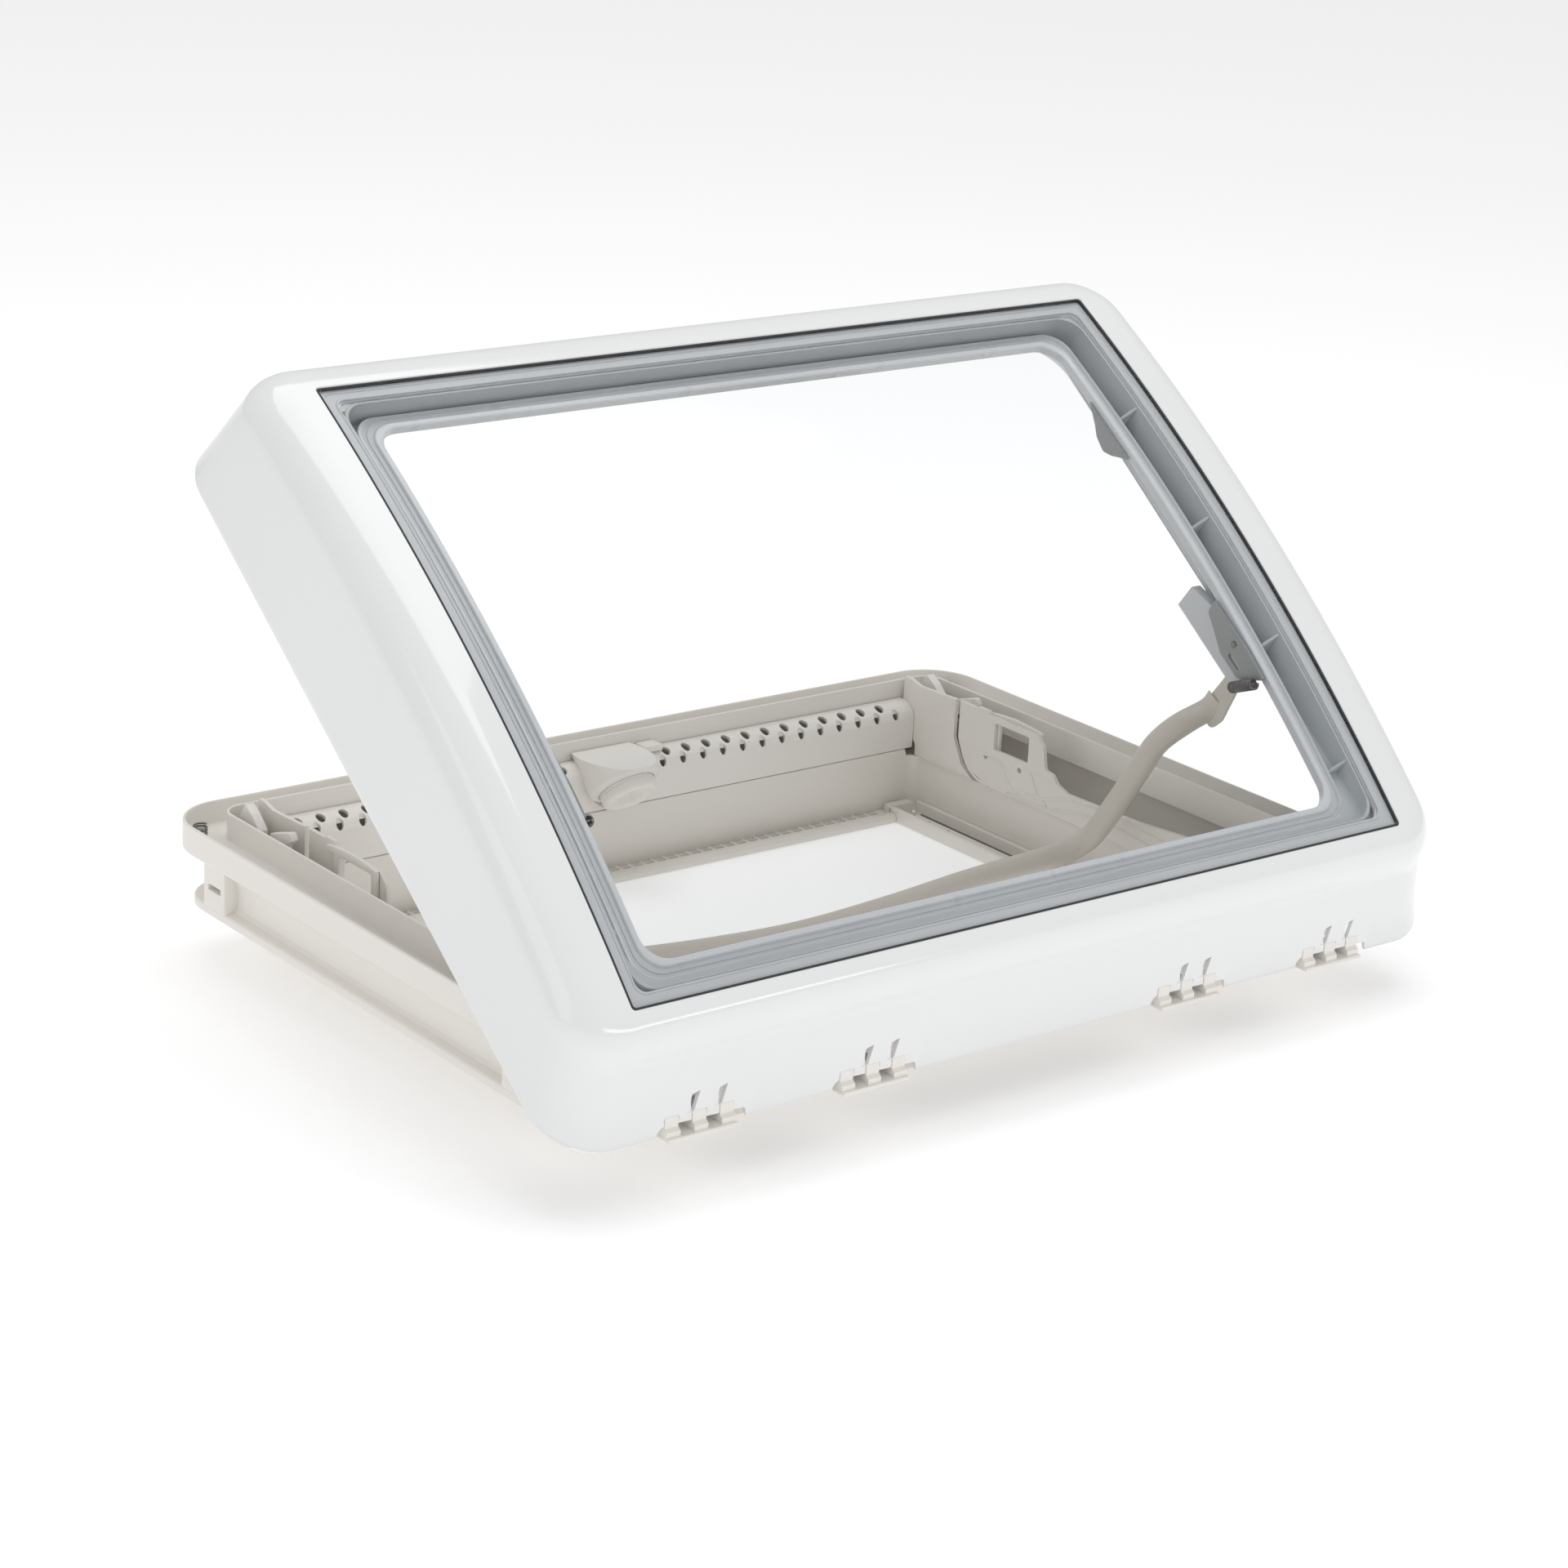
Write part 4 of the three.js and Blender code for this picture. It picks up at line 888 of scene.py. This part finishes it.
settle(makePiece("pushButton", buttonSolid(), rest, 35), "button", frameCream, ["push_button"])
spring = makePiece("buttonSpring", coil(alongButton(22.9), alongButton(32.8), 5, 0.7, 2.2))
settle(spring, "frame", springSteel, ["button_spring"])
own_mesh(spring)
keeper = boxSolid(36, 54, 478, 492, 56.3, 61, 0.8)
settle(makePiece("latchKeeper", keeper), "frame", frameCream, ["latch_keeper"])
print("covers and button ready")


def panelSolid():
    # side wall with the track for the bow's elbow, a clip window and two screw holes
    outline = [(37, 10.8), (469, 10.8), (469, 20), (488, 44), (488, 76.5), (480, 76.5), (467, 73),
               (436, 74), (417, 75), (392, 75), (392, 76.5), (377, 76.5), (377, 73), (317, 73),
               (308, 65), (304, 46), (295, 45), (288, 38),
               (276, 34), (192, 36), (97, 44), (57, 44), (37, 34)]
    radii = [0, 0, 4, 6, 2, 4, 4, 20, 20, 0.5, 1, 1, 1, 4, 4, 4, 3, 4, 8, 40, 20, 10, 4]
    track = rounded([(414, 80), (414, 43), (404, 25), (392, 17.5), (381, 14),
                     (382.5, 8.6), (395, 12), (408, 20), (420, 41), (420, 80)],
                    [0, 4, 6, 8, 2, 2, 8, 8, 4, 0], 5)
    window = rounded([(326, 45), (369, 45), (369, 68), (326, 68)], 2, 4)
    holes = [circle(y, 36.5, 2.4, 16) for y in (378, 335.5)]
    bm = outlineSolid(rounded(outline, radii, 5), 317, 320.5, "YZ", [window, *holes], 0.4)
    return carved(bm, outlineSolid(track, 310, 325, "YZ", edge=0))


settlePair("sidePanel", panelSolid(), "frame", linerCream, "side_panel")


def trackRidges():
    # raised guide lips on the room face of the panel
    ridges = []
    for path in (
        [(411, 40), (401, 23), (388, 14.5), (372, 11.6)],
        [(349, 15), (330, 19), (300, 22), (276, 30), (240, 34), (180, 30), (120, 28)],
        [(349, 12.5), (326, 13.5), (296, 15), (262, 22), (220, 24), (160, 20), (110, 18)],
        [(388, 37), (360, 38), (351, 26), (341, 17)],
        [(321, 39), (311, 23), (299, 17)],
    ):
        points = smoothPath([(317.0, *p) for p in path], 6)
        ridges.append(wire(points, 1.1, 3))
    return joined(*ridges)


settlePair("trackRidges", trackRidges(), "frame", linerCream)


def clipSolid():
    # window frame that the lid's lug snaps into
    frameShape = rounded([(316, 33), (373, 33), (373, 69), (384, 69), (384, 73), (373, 74.5), (350, 76),
                          (325, 74.5), (316, 73)], [2, 2, 1, 1, 1, 8, 20, 8, 1], 5)
    window = rounded([(322, 38), (367, 38), (367, 69), (322, 69)], 2, 4)
    return outlineSolid(frameShape, 320.8, 324.4, "YZ", [window], 0.5)


settlePair("snapClip", clipSolid(), "frame", frameCream, "snap_clip")
pawl = {"x": 335, "y": 428, "z": 55, "pin": 2.5}


def gussetSolid():
    outline = rounded([(490, 4.3), (490, 57), (476, 79), (466, 73), (455, 63), (455, 40), (462, 4.3)],
                      [0, 3, 2, 3, 3, 3, 0], 4)
    return outlineSolid(outline, 331, 339, "YZ", [circle(479, 55, 2.5, 16)], 0.8)


def pawlSolid():
    outline = rounded([(445, 50), (441, 66), (413, 75), (409, 69),
                       (422, 60), (395, 52), (395, 46), (425, 48)], [3, 3, 3, 2, 5, 2, 2, 6], 4)
    return outlineSolid(outline, pawl["x"] - 3, pawl["x"] + 3, "YZ", edge=0.8)


def postSolid():
    outline = rounded([(420, 4.3), (436, 4.3), (434, 60), (422, 60)], [0, 0, 3, 3], 4)
    return outlineSolid(outline, 340, 344, "YZ", edge=0.5)


pawlPin = rod((329, pawl["y"], pawl["z"]), (346, pawl["y"], pawl["z"]), pawl["pin"])
pawlSpring = coil((pawl["x"], 454, 56), (pawl["x"], 444.5, pawl["z"]), 3, 0.7, 1.9)
gutterSpring = coil((368, 492, 51.1), (368, 492, 62), 5, 0.8, 2.2)
settlePair("gusset", gussetSolid(), "frame", frameCream, "gusset")
settlePair("pawlPost", postSolid(), "frame", frameCream, "pawl_post")
settlePair("pawlPin", pawlPin, "frame", springSteel, "pawl_pin")
settlePair("pawlSpring", pawlSpring, "frame", springSteel, "pawl_spring")
settlePair("gutterSpring", gutterSpring, "frame", springSteel, "gutter_spring")
settlePair("pawl", pawlSolid(), "pawl_{side}", frameCream, "pawl")
print("panels and pockets ready")


bracket = {"half": 29, "pitch": 23, "blockHalf": 5.75, "eye": 1.8}


def bracketSolid(middle):
    # a foot with three blocks that hold the pin
    floor = rounded([(-52, 0.6), (-3.3, 0.6), (-3.3, 4), (-34, 4), (-51, 3.2)], [1, 0, 0, 1, 1], 3)
    parts = [outlineSolid(floor, middle - bracket["half"], middle + bracket["half"], "YZ", edge=0.4)]
    half = bracket["blockHalf"]
    eye = bracket["eye"]
    block = [(-48.8, 2), (-30, 2), (-41.6, 15)]
    turns = [math.radians(degrees) for degrees in range(0, 181, 12)]
    block += [(hinge["y"] + eye * math.cos(turn), hinge["z"] + eye * math.sin(turn)) for turn in turns]
    block += [(-46, 9.2), (-48.8, 7)]
    hole = circle(hinge["y"], hinge["z"], hinge["bore"], 20)
    for i in (-1, 0, 1):
        x = middle + i * bracket["pitch"]
        parts.append(outlineSolid(block, x - half, x + half, "YZ", [hole], 0.4))
    return joined(*parts)


for index, middle in enumerate(stations):
    settle(makePiece(f"hingeBracket{index + 1}", bracketSolid(middle)), "frame", frameCream,
           [f"hinge_bracket_{index + 1}"])
    reach = bracket["half"] + 0.2
    ends = [(middle + side * reach, hinge["y"], hinge["z"]) for side in (-1, 1)]
    pin = rod(*ends, hinge["pin"])
    settle(makePiece(f"hingePin{index + 1}", pin), "frame", springSteel, [f"hinge_pin_{index + 1}"])


# the bow's pivot, its flat ends and the tube between them
bow = {"y": 102.44, "z": 209.56, "blade": 322.0, "thick": 3.0, "tube": 9.4}


def bladeSolid():
    outline = rounded([(-6.6, 5.4), (-7, -30), (10, -66), (21, -76),
                       (31, -66), (27, -52), (9, -28), (6.6, 5.4)], [6, 8, 10, 6, 6, 10, 10, 7], 6)
    place = [(bow["y"] + a, bow["z"] + b) for a, b in outline]
    hole = circle(bow["y"], bow["z"], 2.6, 20)
    half = bow["thick"] / 2
    return outlineSolid(place, bow["blade"] - half, bow["blade"] + half, "YZ", [hole], 0.6)


def bowSolid():
    half = [(bow["blade"], 19, -50), (320, 24, -58), (308, 38, -72), (298, 55, -93), (295, 70, -120),
            (291, 101, -172), (286, 112, -190), (272, 119, -199), (245, 121, -202.5), (172, 122.5, -207),
            (90, 123, -214)]
    points = [(x, bow["y"] + y, bow["z"] + z) for x, y, z in half] + [(0, bow["y"] + 123, bow["z"] - 218)]
    points += [(-x, bow["y"] + y, bow["z"] + z) for x, y, z in reversed(half)]
    bm = wire(smoothPath(points, 12), bow["tube"], 10)
    # the bar's ends are pressed flat where they meet the blades
    for vert in bm.verts:
        reach = abs(vert.co.x)
        if reach > 300:
            share = min((reach - 300) / 18, 1)
            share = share * share * (3 - 2 * share)
            target = math.copysign(bow["blade"], vert.co.x)
            vert.co.x += (target + (vert.co.x - target) * 0.19 - vert.co.x) * share
    return bm


settle(makePiece("bowHandle", bowSolid(), rest, 40), "bow", bowBeige, ["bow_handle"])
settlePair("bowBlade", bladeSolid(), "bow", bowBeige)


def bowBracketSolid():
    # bracket on the lid that carries the bow's pivot
    outline = rounded([(270, 73), (269, 64), (258, 60), (238, 51), (214, 51), (208, 55), (195, 71),
                       (195, 73.5), (220, 76), (270, 76)], [2, 3, 5, 5, 4, 3, 3, 0, 1, 0], 5)
    slot = rounded([(216, 56), (231, 56), (231, 60), (216, 60)], 2, 4)
    return outlineSolid(outline, 316.7, 319.7, "YZ", [slot], 0.6)


def lugSolid():
    # lug on the lid that snaps into the clip
    outline = rounded([(471, 79), (454, 70), (447, 65), (434, 62), (425, 67), (411, 79), (411, 80.5)],
                      [0, 4, 5, 6, 6, 3, 0], 5)
    return outlineSolid(outline, 318.1, 319.9, "YZ", edge=0.6)


def rivetSolid():
    start = Vector((315.9, 233, 68))
    profile = [(0, 0), (0, 2.2), (0.5, 2.9), (0.8, 2.9), (0.8, 2.5), (9.6, 2.5), (9.6, 0)]
    return turned(profile, start, (1, 0, 0), 28)


bowSpring = coil((312.2, 211, 42), (312.2, 193, 71), 4, 0.75, 2.1, 4)
settlePair("bowBracket", bowBracketSolid(), "lid", fittingGrey, "bow_bracket", lidPose)
settlePair("lidLug", lugSolid(), "lid", fittingGrey, "lid_lug", lidPose)
settlePair("bowRivet", rivetSolid(), "lid", springSteel, "bow_rivet", lidPose)
settlePair("bowSpring", bowSpring, "lid", springSteel, "bow_spring", lidPose)
print("hinges and bow ready")


ground = {"half": 30000, "height": -40.6}


def studioFloor():
    bm = bmesh.new()
    half = ground["half"]
    for x, y in ((-half, -half), (half, -half), (half, half), (-half, half)):
        bm.verts.new((x, y, ground["height"]))
    bm.faces.new(bm.verts)
    floor = makePiece("studioFloor", bm, smooth=False)
    material, nodes, links, shader = newFinish("floorPaper")
    shader.inputs["Base Color"].default_value = (0.86, 0.86, 0.865, 1)
    shader.inputs["Roughness"].default_value = 0.9
    shader.inputs["Specular IOR Level"].default_value = 0.0
    shader.inputs["Emission Color"].default_value = (1, 1, 1, 1)
    shader.inputs["Emission Strength"].default_value = 0.3
    floor.data.materials.append(material)


def softLight(name, place, aim, size, power, colour=(1, 1, 1)):
    data = bpy.data.lights.new(name, "AREA")
    data.shape = "RECTANGLE"
    data.size, data.size_y = size
    data.energy = power
    data.color = colour
    lamp = placed(name, data)
    lamp.location = place
    lamp.rotation_euler = (Vector(aim) - Vector(place)).to_track_quat("-Z", "Y").to_euler()


studioFloor()
softLight("topSoftbox", (0.3, 0.6, 3.2), (0, 0.25, 0.2), (3.0, 2.2), 34)
softLight("leftSoftbox", (-3.2, -0.6, 1.6), (0, 0.2, 0.2), (1.6, 2.4), 7)
softLight("frontStrip", (0.6, -3.4, 0.9), (0, 0.1, 0.2), (3.4, 0.5), 16)

sky = bpy.data.worlds.new("studioAir")
sky.use_nodes = True
sky.node_tree.nodes["Background"].inputs["Color"].default_value = (1, 1, 1, 1)
sky.node_tree.nodes["Background"].inputs["Strength"].default_value = 0.64
bpy.context.scene.world = sky
bpy.context.scene.view_settings.view_transform = "Standard"

view = {"place": (-1.7522, -1.9115, 1.0631), "azimuth": -39.0, "elevation": 19.0, "roll": 3.15, "lens": 88.97}


def viewCamera():
    a, e, r = (math.radians(view[key]) for key in ("azimuth", "elevation", "roll"))
    back = Vector((math.sin(a) * math.cos(e), -math.cos(a) * math.cos(e), math.sin(e)))
    side = Vector((0, 0, 1)).cross(back).normalized()
    up = back.cross(side)
    turnedSide = side * math.cos(r) + up * math.sin(r)
    turnedUp = up * math.cos(r) - side * math.sin(r)
    data = bpy.data.cameras.new("viewCamera")
    data.lens = view["lens"]
    data.sensor_width = 36
    data.clip_end = 100
    camera = placed("viewCamera", data)
    turn = Matrix((turnedSide, turnedUp, back)).transposed().to_4x4()
    camera.matrix_world = Matrix.Translation(view["place"]) @ turn
    bpy.context.scene.camera = camera


viewCamera()

# nodes of the frame that are still shown get a finish of their own
bySlot = {"frame_plastic": frameCream, "lid_plastic": lidWhite, "inner_frame_plastic": troughGrey,
          "clear_pane": clearAcrylic, "seal_rubber": sealBlack, "steel": springSteel, "bow_plastic": bowBeige}
slotOf = {part["node"]: part["material_slot"] for part in frame["record"]["subparts"]}
for node, item in frame["nodes"].items():
    item.data.materials.clear()
    item.data.materials.append(bySlot[slotOf[node]])

print("scene ready")
